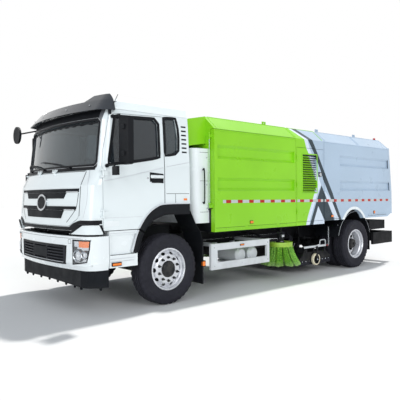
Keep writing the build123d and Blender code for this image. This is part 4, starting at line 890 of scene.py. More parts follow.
def reflective_strips():
    """The red and white sheet along each body side, cut at the doors' edges."""
    start, end = -1.02, -6.33
    edges = sorted({start, end, *[e for pair in RED for e in pair]}, reverse=True)
    for side, s in SIDES:
        for body, x0, x1 in ((f"side_door_{side}", -1.02, -2.864), (f"louvre_door_{side}", -2.905, -3.72),
                             ("hopper", -3.768, -6.33)):
            p = Piece(f"reflective_strip_{body}_{side}" if body == "hopper" else f"reflective_strip_{body}",
                      body, "body_silver", s)
            for a, b in zip(edges, edges[1:]):
                a, b = min(a, x0), max(b, x1)
                if a - b < 0.004:
                    continue
                middle = (a + b) / 2
                red = any(hi > middle > lo for hi, lo in RED)
                z = strip_z(middle)
                p.block(X(b) + 0.0006, X(a) - 0.0006, BODY_Y, BODY_Y + 0.0022, z - 0.025, z + 0.025,
                        "strip_red" if red else "strip_white", 0.0008)
            p.done()


def side_marker(name, body, s, x, y, z, finish="amber", length=0.07, height=0.04):
    p = Piece(name, body, "lamp_lens", s)
    p.block(X(x) - length / 2 - 0.006, X(x) + length / 2 + 0.006, y, y + 0.008, z - height / 2 - 0.006,
            z + height / 2 + 0.006, "trim", 0.003)
    p.block(X(x) - length / 2, X(x) + length / 2, y + 0.006, y + 0.018, z - height / 2, z + height / 2,
            finish, 0.005)
    p.done()


def body_details():
    for side, s in SIDES:
        side_marker(f"marker_side_door_{side}", f"side_door_{side}", s, -1.673, BODY_Y, 1.11)
        side_marker(f"marker_front_{side}", "hopper", s, -4.018, BODY_Y, 1.13)
        side_marker(f"marker_rear_{side}", "hopper", s, -5.65, BODY_Y, 1.16, height=0.055, length=0.05)
        # flush paddle latch on the louvred door
        p = Piece(f"latch_{side}", f"louvre_door_{side}", "trim_black", s)
        p.block(X(-3.666), X(-3.565), BODY_Y, BODY_Y + 0.006, 1.895, 1.985, "trim", 0.003)
        p.block(X(-3.655), X(-3.600), BODY_Y + 0.004, BODY_Y + 0.012, 1.905, 1.975, "steel", 0.004)
        p.lathe([(0, 0), (0.010, 0), (0.010, 0.008), (0, 0.009)], (X(-3.583), BODY_Y + 0.004, 1.94),
                (0, 1, 0), "steel", 16, False)
        p.done()
        # pressed lip round the rear wheel arch
        p = Piece(f"arch_lip_{side}", "hopper", "body_silver", s)
        cx, cz = X(-4.84), 0.79
        outer = arc_points(cx, cz, 0.512, 29.8, 150.2, 40)
        inner = arc_points(cx, cz, 0.452, 34.4, 145.6, 40)
        verts, faces = [], []
        for (ax_, az), (bx, bz) in zip(outer, inner):
            verts += [(ax_, BODY_Y, az), (ax_ * 0.8 + bx * 0.2, BODY_Y + 0.012, az * 0.8 + bz * 0.2),
                      (ax_ * 0.2 + bx * 0.8, BODY_Y + 0.014, az * 0.2 + bz * 0.8), (bx, BODY_Y + 0.004, bz),
                      (bx, BODY_Y - 0.02, bz)]
        for i in range(len(outer) - 1):
            for k in range(4):
                faces.append([i * 5 + k, i * 5 + k + 1, i * 5 + k + 6, i * 5 + k + 5])
        p.add(verts, faces, "white")
        p.done()
        # round rod of the side door's hinges
        p = Piece(f"hinge_rod_{side}", "root", "body_green", s)
        p.tube([(X(-0.824), 1.160, 1.40), (X(-0.824), 1.160, 2.47)], 0.006, "steel", 10, False)
        p.done()


# ---------------------------------------------------------------- plates that follow a surface
def spread(a, b, n):
    return [a + (b - a) * i / n for i in range(n + 1)]


def front_at(y, z, lift):
    """A point over the cab's front face."""
    d = 0.004
    slope_y = (cab_x(y + d, z) - cab_x(y - d, z)) / (2 * d)
    slope_z = (cab_x(y, z + d) - cab_x(y, z - d)) / (2 * d)
    out = Vector((1, -slope_y, -slope_z)).normalized()
    return Vector((cab_x(y, z), y, z)) + out * lift


def side_at(x, z, lift):
    return Vector((X(x), cab_y(z) + lift, z))


def step_at(x, z, lift):
    return Vector((X(x), STEP_Y + lift, z))


def wall_at(x, z, lift):
    return Vector((X(x), BODY_Y + lift, z))


def bumper_at(y, z, lift):
    return Vector((face_x(y) + lift, y, z))


def plate(piece, at, rows, finish, thick=0.004, sink=0.002):
    """A thin plate over rows of (u, v) places, with its rim folded down to the surface."""
    n, m = len(rows[0]), len(rows)
    flat = [uv for row in rows for uv in row]
    verts = [at(u, v, thick) for u, v in flat] + [at(u, v, -sink) for u, v in flat]
    faces = [[r * n + i, r * n + i + 1, (r + 1) * n + i + 1, (r + 1) * n + i] for r in range(m - 1)
             for i in range(n - 1)]
    low = len(flat)
    rim = list(range(n)) + [r * n + n - 1 for r in range(1, m)]
    rim += [(m - 1) * n + i for i in range(n - 2, -1, -1)] + [r * n for r in range(m - 2, 0, -1)]
    faces += [[b, a, low + a, low + b] for a, b in zip(rim, rim[1:] + rim[:1])]
    # faces look out of the surface
    a, b, c = (verts[faces[0][k]] for k in (0, 1, 2))
    out = at(*flat[0], 0.1) - at(*flat[0], 0.0)
    if (b - a).cross(c - b).dot(out) < 0:
        faces = [f[::-1] for f in faces]
    piece.add(verts, faces, finish)


def band(piece, at, path, inner, outer, finish, thick=0.004, sink=0.002, closed=False):
    """A plate that runs along a path of (u, v) places, from inner to outer beside it (left is positive)."""
    n = len(path)
    rows = [[], []]
    for i in range(n + (1 if closed else 0)):
        p = Vector(path[i % n])
        a = Vector(path[(i - 1) % n]) if closed or i > 0 else p
        b = Vector(path[(i + 1) % n]) if closed or i < n - 1 else p
        run = (b - a).normalized()
        side = Vector((-run.y, run.x))
        rows[0].append(tuple(p + side * inner))
        rows[1].append(tuple(p + side * outer))
    plate(piece, at, rows, finish, thick, sink)


def sheet(piece, at, us, vs, finish, thick=0.004, sink=0.002):
    """A plate over a grid of (u, v) places."""
    plate(piece, at, [[(u, v) for u in us] for v in vs], finish, thick, sink)


def line_band(piece, at, points, half, finish, thick, sink=0.0, step=0.05):
    """A band along straight stretches, half its width to each side."""
    band(piece, at, dense(points, False, step), -half, half, finish, thick, sink)


def smooth(points, steps=8):
    """A curve of (u, v) places through the points."""
    return [(p.x, p.y) for p in rounded([(a, b, 0) for a, b in points], steps)]


# ---------------------------------------------------------------- cab, front
LIP_LOW, CORNER_LOW, EAR_TOP, RISE_TOP = 1.1125, 1.187, 1.200, 1.247  # heights round the hatch's foot


def cab_front():
    p = Piece("front_bands", "cab", "trim_black")
    sheet(p, front_at, spread(-1.045, 1.045, 40), spread(2.557, 2.715, 5), "trim", 0.003)
    sheet(p, front_at, spread(-1.09, 1.09, 44), spread(1.899, 1.964, 3), "trim", 0.004)
    # rubber round the windscreen
    ring = [(-1.05, 1.962), (1.05, 1.962), (1.084, 2.0), (1.076, 2.52), (1.04, 2.558), (-1.04, 2.558),
            (-1.076, 2.52),
            (-1.084, 2.0)]
    path = []
    for a, b in zip(ring, ring[1:] + ring[:1]):
        path += [(a[0] + (b[0] - a[0]) * t / 8, a[1] + (b[1] - a[1]) * t / 8) for t in range(8)]
    band(p, front_at, path, -0.020, 0.012, "trim", 0.007, 0.004, True)
    band(p, front_at, path, -0.023, -0.019, "steel", 0.0085, 0.0, True)
    # black lip under the hatch, which rises over the corner pieces
    sheet(p, front_at, spread(-0.765, 0.765, 24), spread(LIP_LOW, 1.158, 2), "trim", 0.003)
    rise = ((0.765, LIP_LOW, 1.160), (0.84, LIP_LOW, 1.205), (0.92, LIP_LOW, 1.232), (0.984, 1.146, RISE_TOP),
            (1.025, 1.166, RISE_TOP),
            (1.066, CORNER_LOW, RISE_TOP), (1.10, CORNER_LOW, RISE_TOP), (1.135, CORNER_LOW, RISE_TOP),
            (1.165, CORNER_LOW, RISE_TOP), (1.185, CORNER_LOW, RISE_TOP),
            (1.196, CORNER_LOW, RISE_TOP))
    for s in (1, -1):
        q = Piece("rise", "cab", "trim_black", s)
        plate(q, front_at, [[(y, low + (high - low) * t) for y, low, high in rise] for t in (0.0, 0.5, 1.0)],
              "trim", 0.003)
        sheet(q, side_at, spread(1.19, 1.081, 4), (CORNER_LOW, RISE_TOP), "trim", 0.003)
        # and runs down behind the corner piece
        plate(q, side_at, [[(a, z), (b, z)] for a, b, z in ((1.123, 1.081, 1.190), (1.104, 1.074, 1.150),
                                                            (1.090, 1.069, 1.112),
                                                           (1.072, 1.052, 1.070))], "trim", 0.003)
        ear = ((0.83, 1.068, 1.089), (0.90, 1.100, 1.143), (0.975, 1.138, EAR_TOP), (1.02, 1.160, EAR_TOP),
               (1.066, 1.183, EAR_TOP), (1.12, 1.186, EAR_TOP), (1.16, CORNER_LOW, EAR_TOP),
               (1.196, CORNER_LOW, EAR_TOP))
        plate(q, bumper_at, [[(y, low + (high - low) * t) for y, low, high in ear] for t in (0.0, 0.5, 1.0)],
              "trim", 0.010)
        strip = ((1.123, 1.081, CORNER_LOW), (1.104, 1.074, 1.15), (1.085, 1.058, 1.112),
                 (1.060, 1.040, 1.07))
        plate(q, lambda u, v, lift: Vector((X(u), 1.204 + lift, v)), [[(a, z), (b, z)] for a, b, z in strip],
              "trim", 0.004)
        merge(p, q, s)
    p.done()
    p = Piece("cab_sill_shade", "cab", "trim_black")
    p.block(X(1.045), X(1.053), -1.155, 1.155, 1.085, 1.17, "trim", 0.002)
    p.done()

    p = Piece("windscreen_shade", "cab", "trim_black")
    for k in range(24):
        y0, y1 = -1.03 + 2.06 * k / 24, -1.03 + 2.06 * (k + 1) / 24
        rows = [[(y0 + 0.003, z), (y1 - 0.003, z)] for z in (2.505 + 0.012 * (k % 2), 2.535)]
        plate(p, front_at, rows, "trim", -0.019, 0.020)
    p.done()

    p = Piece("wipers", "cab", "trim_black")
    for pivot, tip in ((0.62, -0.02), (-0.10, -0.74), (-0.72, -1.0)):
        a = front_at(pivot, 1.935, 0.004)
        b = front_at(pivot, 1.935, 0.034)
        p.tube([a, b], 0.016, "trim", 12, False)
        knee = front_at((pivot * 0.55 + tip * 0.45), 1.99, 0.034)
        end = front_at(tip, 2.035, 0.020)
        p.tube([b, knee, end], 0.0075, "trim", 8)
        blade = [front_at(max(tip + dy, 0.005 * dy - 1.045), 2.035 + dz, 0.006) for dy,
                 dz in ((0.33, -0.03), (0.16, -0.01), (0.0, 0.008), (-0.16, 0.02),
                                                                      (-0.30, 0.022))]
        p.tube(blade, 0.0065, "rubber", 6)
        p.tube([q + Vector((0.010, 0, 0.004)) for q in blade[1:4]], 0.004, "trim", 6)
    p.done()

    # bare ring and lids on the hatch
    p = Piece("hatch_trim", "front_hatch", "trim_black")
    turns = spread(0, 2 * math.pi, 56)
    path = [(0.142 * math.cos(a), 1.474 + 0.104 * math.sin(a)) for a in turns[:-1]]
    band(p, front_at, path, -0.013, 0.013, "steel", 0.022, 0.002, True)
    plate(p, front_at, [[(1.42 * r * math.cos(a), 1.474 + r * math.sin(a)) for a in turns]
                        for r in (0.001, 0.050, 0.092)],
          "trim", 0.009)
    for s in (1, -1):
        # pale line along the grilles' lower edges
        band(p, front_at, [(s * y, 1.617) for y in spread(0.66, 0.915, 8)], -0.006, 0.006, "steel", 0.011,
             0.0)
        band(p, front_at, [(s * y, 1.381) for y in spread(0.63, 0.865, 8)], -0.006, 0.006, "steel", 0.011,
             0.0)
        # crease from the grilles' ends down to the hatch's foot, drawn as a thin dark line of painted shade
        crease = [(s * 0.92, 1.60), (s * 0.900, 1.45), (s * 0.868, 1.375), (s * 0.70, 1.215)]
        band(p, front_at, smooth(crease), -0.004, 0.004, "trim", 0.0015, 0.0)
    band(p, front_at, [(y, 1.885) for y in spread(-0.93, 0.93, 30)], -0.003, 0.003, "trim", 0.002, 0.0)
    p.done()

    # corner panels: a curved crease each side of the hatch, drawn as thin lines of painted shade
    for side, s in SIDES:
        p = Piece(f"corner_lines_{side}", "cab", "trim_black", s)
        band(p, front_at, smooth([(0.955, 1.88), (0.957, 1.60), (0.957, 1.30)]), -0.0035, 0.0035, "trim",
             0.0015, 0.0)
        band(p, front_at, smooth([(1.01, 1.90), (1.075, 1.72), (1.085, 1.50), (1.04, 1.28)]), -0.003, 0.003,
             "guard", 0.0015, 0.0)
        p.done()


def roof_details():
    p = Piece("roof_details", "cab", "trim_black")
    for y in (-0.62, 0.0, 0.62):
        x = cab_x(y, 2.83) - 0.04
        p.block(x - 0.05, x + 0.012, y - 0.055, y + 0.055, 2.835, 2.868, "amber", 0.008)
    # gutter along each door top
    for s in (1, -1):
        q = Piece("gutter", "cab", "trim_black", s)
        path = [side_at(x, 2.712, 0.008) for x in spread(0.93, -0.385, 12)]
        q.tube(path, 0.009, "white", 8, False)
        merge(p, q, s)
    # aerial at the left front pillar
    base = side_at(0.93, 2.66, 0.006)
    p.block(base.x - 0.02, base.x + 0.02, base.y - 0.01, base.y + 0.012, base.z - 0.03, base.z + 0.03, "trim",
            0.004)
    p.tube([base + Vector((0, 0.008, 0.0)), base + Vector((-0.12, 0.012, 0.235))], 0.004, "trim", 8, False)
    # roof hatch and its rim
    p.block(X(-0.02), X(0.52), -0.36, 0.36, 2.8975, 2.914, "white", 0.012)
    p.block(X(0.02), X(0.48), -0.32, 0.32, 2.912, 2.9195, "visor", 0.004)
    p.done()


def visor_details():
    p = Piece("visor_bolts", "cab", "visor_dark")
    for y in (-0.9, -0.4, 0.4, 0.9):
        p.bolt((X(1.168 - 0.09 * (abs(y) > 0.5)), y, 2.758), (0.45, 0, 0.9), 0.009)
    p.done()


# ---------------------------------------------------------------- cab, sides
ARCH_OUT = [(0.632, 0.805), (0.54, 1.07), (0.385, 1.29), (0.21, 1.405), (0.05, 1.435), (-0.375, 1.437)]
ARCH_IN = [(0.545, 0.790), (0.46, 1.03), (0.325, 1.19), (0.165, 1.262), (0.03, 1.285), (-0.375, 1.285)]


def arch_trim():
    """The thick black lip round the front wheel opening: its upper part on the cab, its lower on the step."""
    curve = list(zip(smooth(ARCH_OUT, 10), smooth(ARCH_IN, 10)))
    for side, s in SIDES:
        for name, body, keep in (("arch_trim", "cab", [q for q in curve if q[0][1] > 1.112]),
                                 ("arch_trim_low", "root", [q for q in curve if q[0][1] < 1.098])):
            p = Piece(f"{name}_{side}", body, "trim_black", s)
            at = side_at if body == "cab" else step_at
            rows = [[(a + (c - a) * t, b + (d - b) * t) for (a, b), (c, d) in keep]
                    for t in (0.0, 0.3, 0.65, 1.0)]
            plate(p, at, rows, "trim", 0.016, 0.01)
            # the light grey band along the lip's outer edge is a painted highlight
            band(p, at, [outer for outer, inner in keep], -0.012, 0.002, "guard", 0.020, 0.01)
            band(p, at, [inner for outer, inner in keep], -0.010, 0.002, "trim", 0.022, 0.01)
            p.done()


def door_details():
    window = [(0.965, 1.978), (0.852, 2.600), (0.225, 2.625), (0.165, 2.560), (0.165, 2.105), (0.30, 2.075),
              (0.42, 2.055),
              (0.58, 2.03)]
    quarter = [(0.045, 2.655), (-0.155, 2.665), (-0.183, 2.52), (-0.19, 2.40), (-0.18, 2.215), (-0.12, 2.165),
               (0.04, 2.135)]
    for side, s in SIDES:
        p = Piece(f"door_trim_{side}", f"cab_door_{side}", "trim_black", s)
        band(p, side_at, dense(window), -0.030, 0.010, "trim", 0.0045, 0.004, True)
        # handle in its dished recess, and the lock
        plate(p, side_at, [[(0.085 + 0.255 * u, 1.715 + 0.165 * v + 0.02 * u) for u in spread(0.04, 0.96, 6)]
                           for v in (0.1, 0.5, 0.9)], "trim", 0.002)
        y = cab_y(1.8)
        p.block(X(0.105), X(0.322), y - 0.002, y + 0.024, 1.80, 1.845, "white", 0.010)
        p.block(X(0.118), X(0.30), y + 0.001, y + 0.007, 1.735, 1.80, "trim", 0.003)
        p.lathe([(0, 0), (0.014, 0), (0.014, 0.006), (0, 0.008)], side_at(0.365, 1.80, 0), (0, 1, 0), "steel",
                18, False)
        # creases pressed along the door, drawn as grey bands of painted shade
        belt = [(1.045, 1.752), (0.75, 1.806), (0.40, 1.883), (0.10, 1.952)]
        band(p, side_at, smooth(belt), -0.005, 0.005, "guard", 0.003, 0.0)
        band(p, side_at, [(x, 1.275) for x in spread(1.04, 0.45, 8)], -0.003, 0.003, "guard", 0.002, 0.0)
        sheet(p, side_at, (0.83, 1.035), (1.165, 1.235), "white", 0.006)
        p.done()

        p = Piece(f"cab_side_trim_{side}", "cab", "trim_black", s)
        band(p, side_at, dense(quarter), -0.030, 0.008, "trim", 0.0045, 0.004, True)
        seam = [(0.072, 1.45), (0.072, 2.05), (0.072, 2.67)]
        line_band(p, side_at, seam, 0.003, "trim", 0.0015)
        lid = [(0.045, 1.585), (-0.375, 1.585)]
        line_band(p, side_at, lid, 0.003, "trim", 0.0015)
        line_band(p, side_at, [(-0.12, 1.455), (-0.12, 1.58)], 0.003, "trim", 0.0015)
        # grey band of painted shade along the crease behind the door
        line_band(p, side_at, [(0.04, 1.965), (-0.385, 2.045)], 0.005, "guard", 0.003)
        # air intake slots behind the quarter light
        for k in range(7):
            z = 2.18 + 0.062 * k
            sheet(p, side_at, (-0.255, -0.345), (z, z + 0.022), "trim", 0.002)
        side_lamp = side_at(-0.30, 1.50, 0)
        p.block(side_lamp.x - 0.03, side_lamp.x + 0.03, side_lamp.y, side_lamp.y + 0.012, 1.485, 1.515,
                "amber", 0.004)
        p.done()

        # mirror faces and caps
        p = Piece(f"mirror_faces_{side}", f"cab_door_{side}", "trim_black", s)
        for z0, z1 in ((2.13, 2.535), (1.985, 2.105)):
            p.block(X(0.7965), X(0.801), 1.325, 1.495, z0, z1, "mirror", 0.001)
        for z in (2.12, 2.56, 1.972):
            p.block(X(0.796), X(0.884), 1.301, 1.519, z - 0.004, z + 0.004, "trim", 0.002)
        for z in (2.10, 2.44):
            p.block(X(0.878), X(0.896), 1.375, 1.445, z - 0.03, z + 0.03, "trim", 0.004)
        p.block(X(0.9815), X(0.986), 1.365, 1.465, 1.832, 1.92, "mirror", 0.001)
        for z in (2.6, 1.95):
            p.lathe([(0, 0), (0.024, 0), (0.024, 0.03), (0.016, 0.034), (0, 0.034)],
                    (X(0.895 if z > 2 else 1.005), cab_y(z) - 0.002, z), (0, 1, 0), "trim", 18, False)
        p.done()

    p = Piece("front_mirror_face", "cab", "trim_black")
    p.lathe([(0, 0.0), (0.118, 0.0), (0.118, 0.004), (0.09, 0.010), (0.04, 0.013), (0, 0.014)],
            (X(1.1855), -1.35, 2.58), (-1, 0, 0), "mirror", 40, False)
    p.lathe([(0.118, 0), (0.139, 0), (0.139, 0.006), (0.128, 0.010), (0.118, 0.006)],
            (X(1.1865), -1.35, 2.58), (-1, 0, 0),
            "trim", 40)
    p.done()


def dense(points, closed=True, step=0.05):
    """The outline with points added along its straight stretches."""
    result = []
    ends = list(zip(points, points[1:] + points[:1])) if closed else list(zip(points, points[1:]))
    for a, b in ends:
        n = max(1, round(math.dist(a, b) / step))
        result += [(a[0] + (b[0] - a[0]) * i / n, a[1] + (b[1] - a[1]) * i / n) for i in range(n)]
    if not closed:
        result.append(points[-1])
    return result


def step_details():
    for side, s in SIDES:
        p = Piece(f"step_trim_{side}", "root", "cab_white", s)
        line_band(p, step_at, [(0.968, 1.070), (0.545, 1.070)], 0.004, "guard", 0.002)
        # the thin dark band at z 0.786 is a painted shadow under the step's recess
        band(p, step_at, dense([(0.968, 0.786), (0.560, 0.786)], False), -0.005, 0.003, "trim", 0.001, 0.0)
        for z in (0.700, 0.735):
            line_band(p, step_at, [(0.968, z), (0.60, z)], 0.004, "guard", 0.006)
        p.block(X(0.80), X(0.95), 1.1995, 1.216, 0.640, 0.690, "trim", 0.005)
        p.block(X(0.81), X(0.94), 1.2145, 1.224, 0.650, 0.680, "amber", 0.004)
        p.done()

    for side, s in SIDES:
        p = Piece(f"mudguard_trim_{side}", "root", "trim_black", s)
        p.block(X(-0.656), X(-0.632), 1.186, 1.193, 0.215, 0.85, "trim", 0.002)
        p.block(X(-0.655), X(-0.646), 0.775, 1.175, 0.225, 0.265, "trim", 0.002)
        p.block(X(-0.700), X(-0.640), 1.150, 1.198, 0.470, 0.565, "trim", 0.006)
        p.block(X(-0.694), X(-0.6385), 1.160, 1.205, 0.478, 0.557, "amber", 0.010)
        for z in (0.45, 0.62, 0.79):
            for y in (0.85, 1.10):
                p.bolt((X(-0.6485), y, z), (-1, 0, 0), 0.008)
        p.done()


# ---------------------------------------------------------------- bumper and headlamps
def bumper_details():
    p = Piece("bumper_trim", "root", "trim_black")
    # dark plate behind the slatted grille, standing in for the shade behind it, and a bare plate in its
    # middle
    rows = [[(y, z) for y in spread(-0.712, 0.712, 24)] for z in (0.668, 0.912)]
    plate(p, lambda y, z, lift: Vector((face_x(y) - 0.046 + lift, y, z)), rows, "trim", 0.004)
    sheet(p, bumper_at, spread(-0.235, 0.235, 8), (0.725, 0.865), "valance", 0.004)
    outline = dense([(-0.700, 0.676), (0.700, 0.676), (0.724, 0.904), (-0.724, 0.904)])
    band(p, bumper_at, outline, -0.012, 0.012, "trim", 0.005, 0.002, True)
    # seam along the bumper and its tow cover
    line_band(p, bumper_at, [(-1.16, 1.012), (1.16, 1.012)], 0.002, "trim", 0.001)
    line_band(p, bumper_at, [(-0.66, 0.690), (0.66, 0.690)], 0.003, "guard", 0.0045)
    for s in (1, -1):
        q = Piece("tow_cover", "root", "trim_black", s)
        band(q, bumper_at, dense([(0.775, 0.945), (0.835, 0.945), (0.835, 0.995), (0.775, 0.995)], True,
                                 0.03), -0.002, 0.002, "trim", 0.0012,
             0.0, True)
        merge(p, q, s)
    p.done()

    # dark shelf that closes the gap between the bumper's top and the hatch, standing in for the shade in that
    # gap
    p = Piece("bumper_gap_shade", "root", "trim_black")
    slot_in, slot_out = 0.444, 0.498  # the cab's tilt arms swing up through these slots
    for y0, y1, top in ((-1.12, -0.98, 1.052), (-0.98, -slot_out, 1.072), (-slot_in, slot_in, 1.072),
                        (slot_out, 0.98, 1.072), (0.98, 1.12, 1.052)):
        p.block(X(1.075), X(1.083), y0, y1, 1.026, top, "trim", 0.002)
    for y0, y1 in ((-0.93, -slot_out), (-slot_in, slot_in), (slot_out, 0.93)):
        cuts = spread(y0, y1, 12)
        rows = [[(X(1.10), y, 1.034) for y in cuts], [(face_x(y) - 0.052, y, 1.034) for y in cuts]]
        n = len(cuts)
        verts = [v for row in rows for v in row] + [(v[0], v[1], 1.028) for row in rows for v in row]
        faces = [[i, i + 1, n + i + 1, n + i][::-1] for i in range(n - 1)]
        faces += [[2 * n + i, 2 * n + i + 1, 3 * n + i + 1, 3 * n + i] for i in range(n - 1)]
        faces += [[n + i, n + i + 1, 3 * n + i + 1, 3 * n + i][::-1] for i in range(n - 1)]
        p.add(verts, faces, "trim")
    p.done()


# ---------------------------------------------------------------- lamps
LAMP_Y, LAMP_Z = (0.8635, 1.1565), (0.668, 0.997)


def headlamp(q):
    """A dark frame, bright bowls behind a clear cover and the orange indicator at the upper outer corner."""
    (y0, y1), (z0, z1) = LAMP_Y, LAMP_Z
    edge = dense([(y0, z0), (1.122, 0.712), (1.150, 0.880), (y1, z1), (y0, z1)])
    fill = [[(low + (y1 + 0.004 - low) * t, z) for t in (0.0, 0.5, 1.0)]
            for z, low in ((0.6645, 0.858), (0.668, 0.863), (0.712, 1.123), (0.880, 1.151), (0.985, y1))]
    plate(q, bumper_at, fill, "white", 0.002, 0.004)
    band(q, bumper_at, edge, 0.0, 0.013, "trim", -0.001, 0.046, True)
    sheet(q, bumper_at, spread(y0, y1, 14), (z0, z1), "trim", -0.043, 0.046)
    inner = [[(y, z) for y in spread(y0 + 0.014, y1 - 0.016, 14)] for z in spread(z0 + 0.03, z1 - 0.02, 6)]
    plate(q, bumper_at, inner, "bowl", -0.036, 0.042)
    for cy, cz, r in ((0.945, 0.790, 0.074), (1.070, 0.808, 0.045)):
        tilt = (1, 0.25 * cy, 0)
        spot = (face_x(cy) - 0.040, cy, cz)
        q.lathe([(r, 0.030), (r + 0.005, 0.033), (r + 0.008, 0.026), (r + 0.007, 0.0), (0, 0.0), (0, 0.004),
                 (r * 0.35, 0.006), (r * 0.75, 0.014)], spot, tilt, "bowl", 40, False)
        q.lathe([(r + 0.0085, 0.024), (r + 0.012, 0.024), (r + 0.012, 0.0), (r + 0.0085, 0.0)], spot, tilt,
                "trim", 40)
        q.lathe([(0, 0.026), (0.017, 0.023), (0.020, 0.004), (0, 0.004)], spot, tilt, "bulb", 24, False)
    for k in range(5):
        z = z0 + 0.036 + 0.010 * k
        sheet(q, bumper_at, spread(0.885, 1.12, 8), (z, z + 0.004), "steel", -0.030, 0.038)
    sheet(q, bumper_at, spread(0.985, 1.143, 8), spread(0.902, 0.980, 3), "amber", -0.008, 0.036)
    sheet(q, bumper_at, spread(0.880, 0.975, 5), spread(0.908, 0.976, 3), "bowl", -0.012, 0.036)
    cover = [[(y, z) for y in spread(y0 + 0.012, y1 - 0.012, 16)] for z in (z0 + 0.012, z1 - 0.012)]
    plate(q, bumper_at, cover, "cover", -0.003, 0.005)


def lamps():
    """Headlamps and tail lamps, in place of the plain blocks."""
    p = Piece("lamp_units", "root", "lamp_lens", 1, ("lamps",))
    back = X(BUMPER_BACK)
    for s in (1, -1):
        q = Piece("unit", "root", "lamp_lens", s)
        headlamp(q)
        # tail lamp: housing and three chambers
        q.block(back + 0.006, back + 0.039, 0.8405, 1.1195, 0.5005, 0.6395, "trim", 0.004)
        for (a, b), finish in (((0.850, 0.935), "red_lens"), ((0.941, 1.020), "amber"),
                               ((1.026, 1.110), "red_lens")):
            q.block(back + 0.0005, back + 0.012, a, b, 0.512, 0.628, finish, 0.004)
            q.lathe([(0.030, 0.0), (0.034, 0.0), (0.034, 0.003), (0.030, 0.003)],
                    (back + 0.0008, (a + b) / 2, 0.57),
                    (-1, 0, 0), finish, 24)
        merge(p, q, s)
    p.done()


# ---------------------------------------------------------------- the body's other details
def louvre_details():
    """A pressed surround, and dark slats behind the louvres that stand in for the shade in their gaps."""
    for side, s in SIDES:
        p = Piece(f"louvre_trim_{side}", f"louvre_door_{side}", "trim_black", s)
        ring = dense([(-3.524, 1.588), (-3.063, 1.588), (-3.063, 2.312), (-3.524, 2.312)])
        band(p, wall_at, ring, -0.010, 0.010, "green", 0.005, 0.003, True)
        for k in range(17):
            z = 1.606 + 0.04275 * k
            sheet(p, wall_at, (-3.508, -3.079), (z - 0.009, z + 0.009), "gear", -0.012, 0.016)
        p.done()


def body_shadow_lines():
    """Sealed shut lines, pressed edges and thin painted shadow lines on the body's walls."""
    for side, s in SIDES:
        p = Piece(f"door_seal_{side}", "root", "trim_black", s)
        p.block(X(-2.8728), X(-2.8672), 1.172, 1.2475, 1.0, 2.57, "rubber", 0.001)
        p.done()
        p = Piece(f"side_door_trim_{side}", f"side_door_{side}", "trim_black", s)
        # the thin dark line at z 1.050 is a painted shadow line
        for z, half, finish, thick, sink in ((1.012, 0.006, "green", 0.008, 0.002),
                                             (1.050, 0.0025, "trim", 0.001, 0.0),
                                             (2.560, 0.006, "green", 0.006, 0.002)):
            line_band(p, wall_at, [(-0.87, z), (-2.86, z)], half, finish, thick, sink, 0.2)
        for x in (-1.55, -2.35):
            p.block(X(x) - 0.030, X(x) + 0.030, BODY_Y, BODY_Y + 0.005, 1.030, 1.060, "green", 0.002)
        p.done()
        p = Piece(f"hopper_trim_{side}", "hopper", "body_silver", s)
        ledge = dense([(-3.775, 1.092), (-4.315, 1.092)], False, 0.1)
        band(p, wall_at, ledge, -0.010, 0.010, "livery", 0.007, 0.002)
        # thin dark line under the ledge: painted shadow
        line_band(p, wall_at, [(-3.775, 1.074), (-4.300, 1.074)], 0.003, "trim", 0.002, step=0.1)
        back = dense([(-5.40, 1.108), (-6.20, 1.115)], False, 0.1)
        band(p, wall_at, back, -0.010, 0.010, "livery", 0.007, 0.002)
        # thin dark line under the ledge: painted shadow
        line_band(p, wall_at, [(-5.41, 1.090), (-6.20, 1.097)], 0.003, "trim", 0.002, step=0.1)
        line_band(p, wall_at, [(-3.775, 2.572), (-6.30, 2.572)], 0.006, "livery", 0.006, 0.002, 0.2)
        p.done()


ROOF_Z = 2.795
FOLD_Y, FOLD_WIDE, FOLD_DROP = 1.02, 0.23, 0.21  # the chamfer along each edge of the roof


def roof_at(x, y, lift):
    """A point over the sloped chamfer or the flat roof."""
    if abs(y) <= FOLD_Y:
        return Vector((X(x), y, ROOF_Z + lift))
    t = (abs(y) - FOLD_Y) / FOLD_WIDE
    out = Vector((0, math.copysign(FOLD_DROP, y), FOLD_WIDE)).normalized()
    return Vector((X(x), y, ROOF_Z - FOLD_DROP * t)) + out * lift


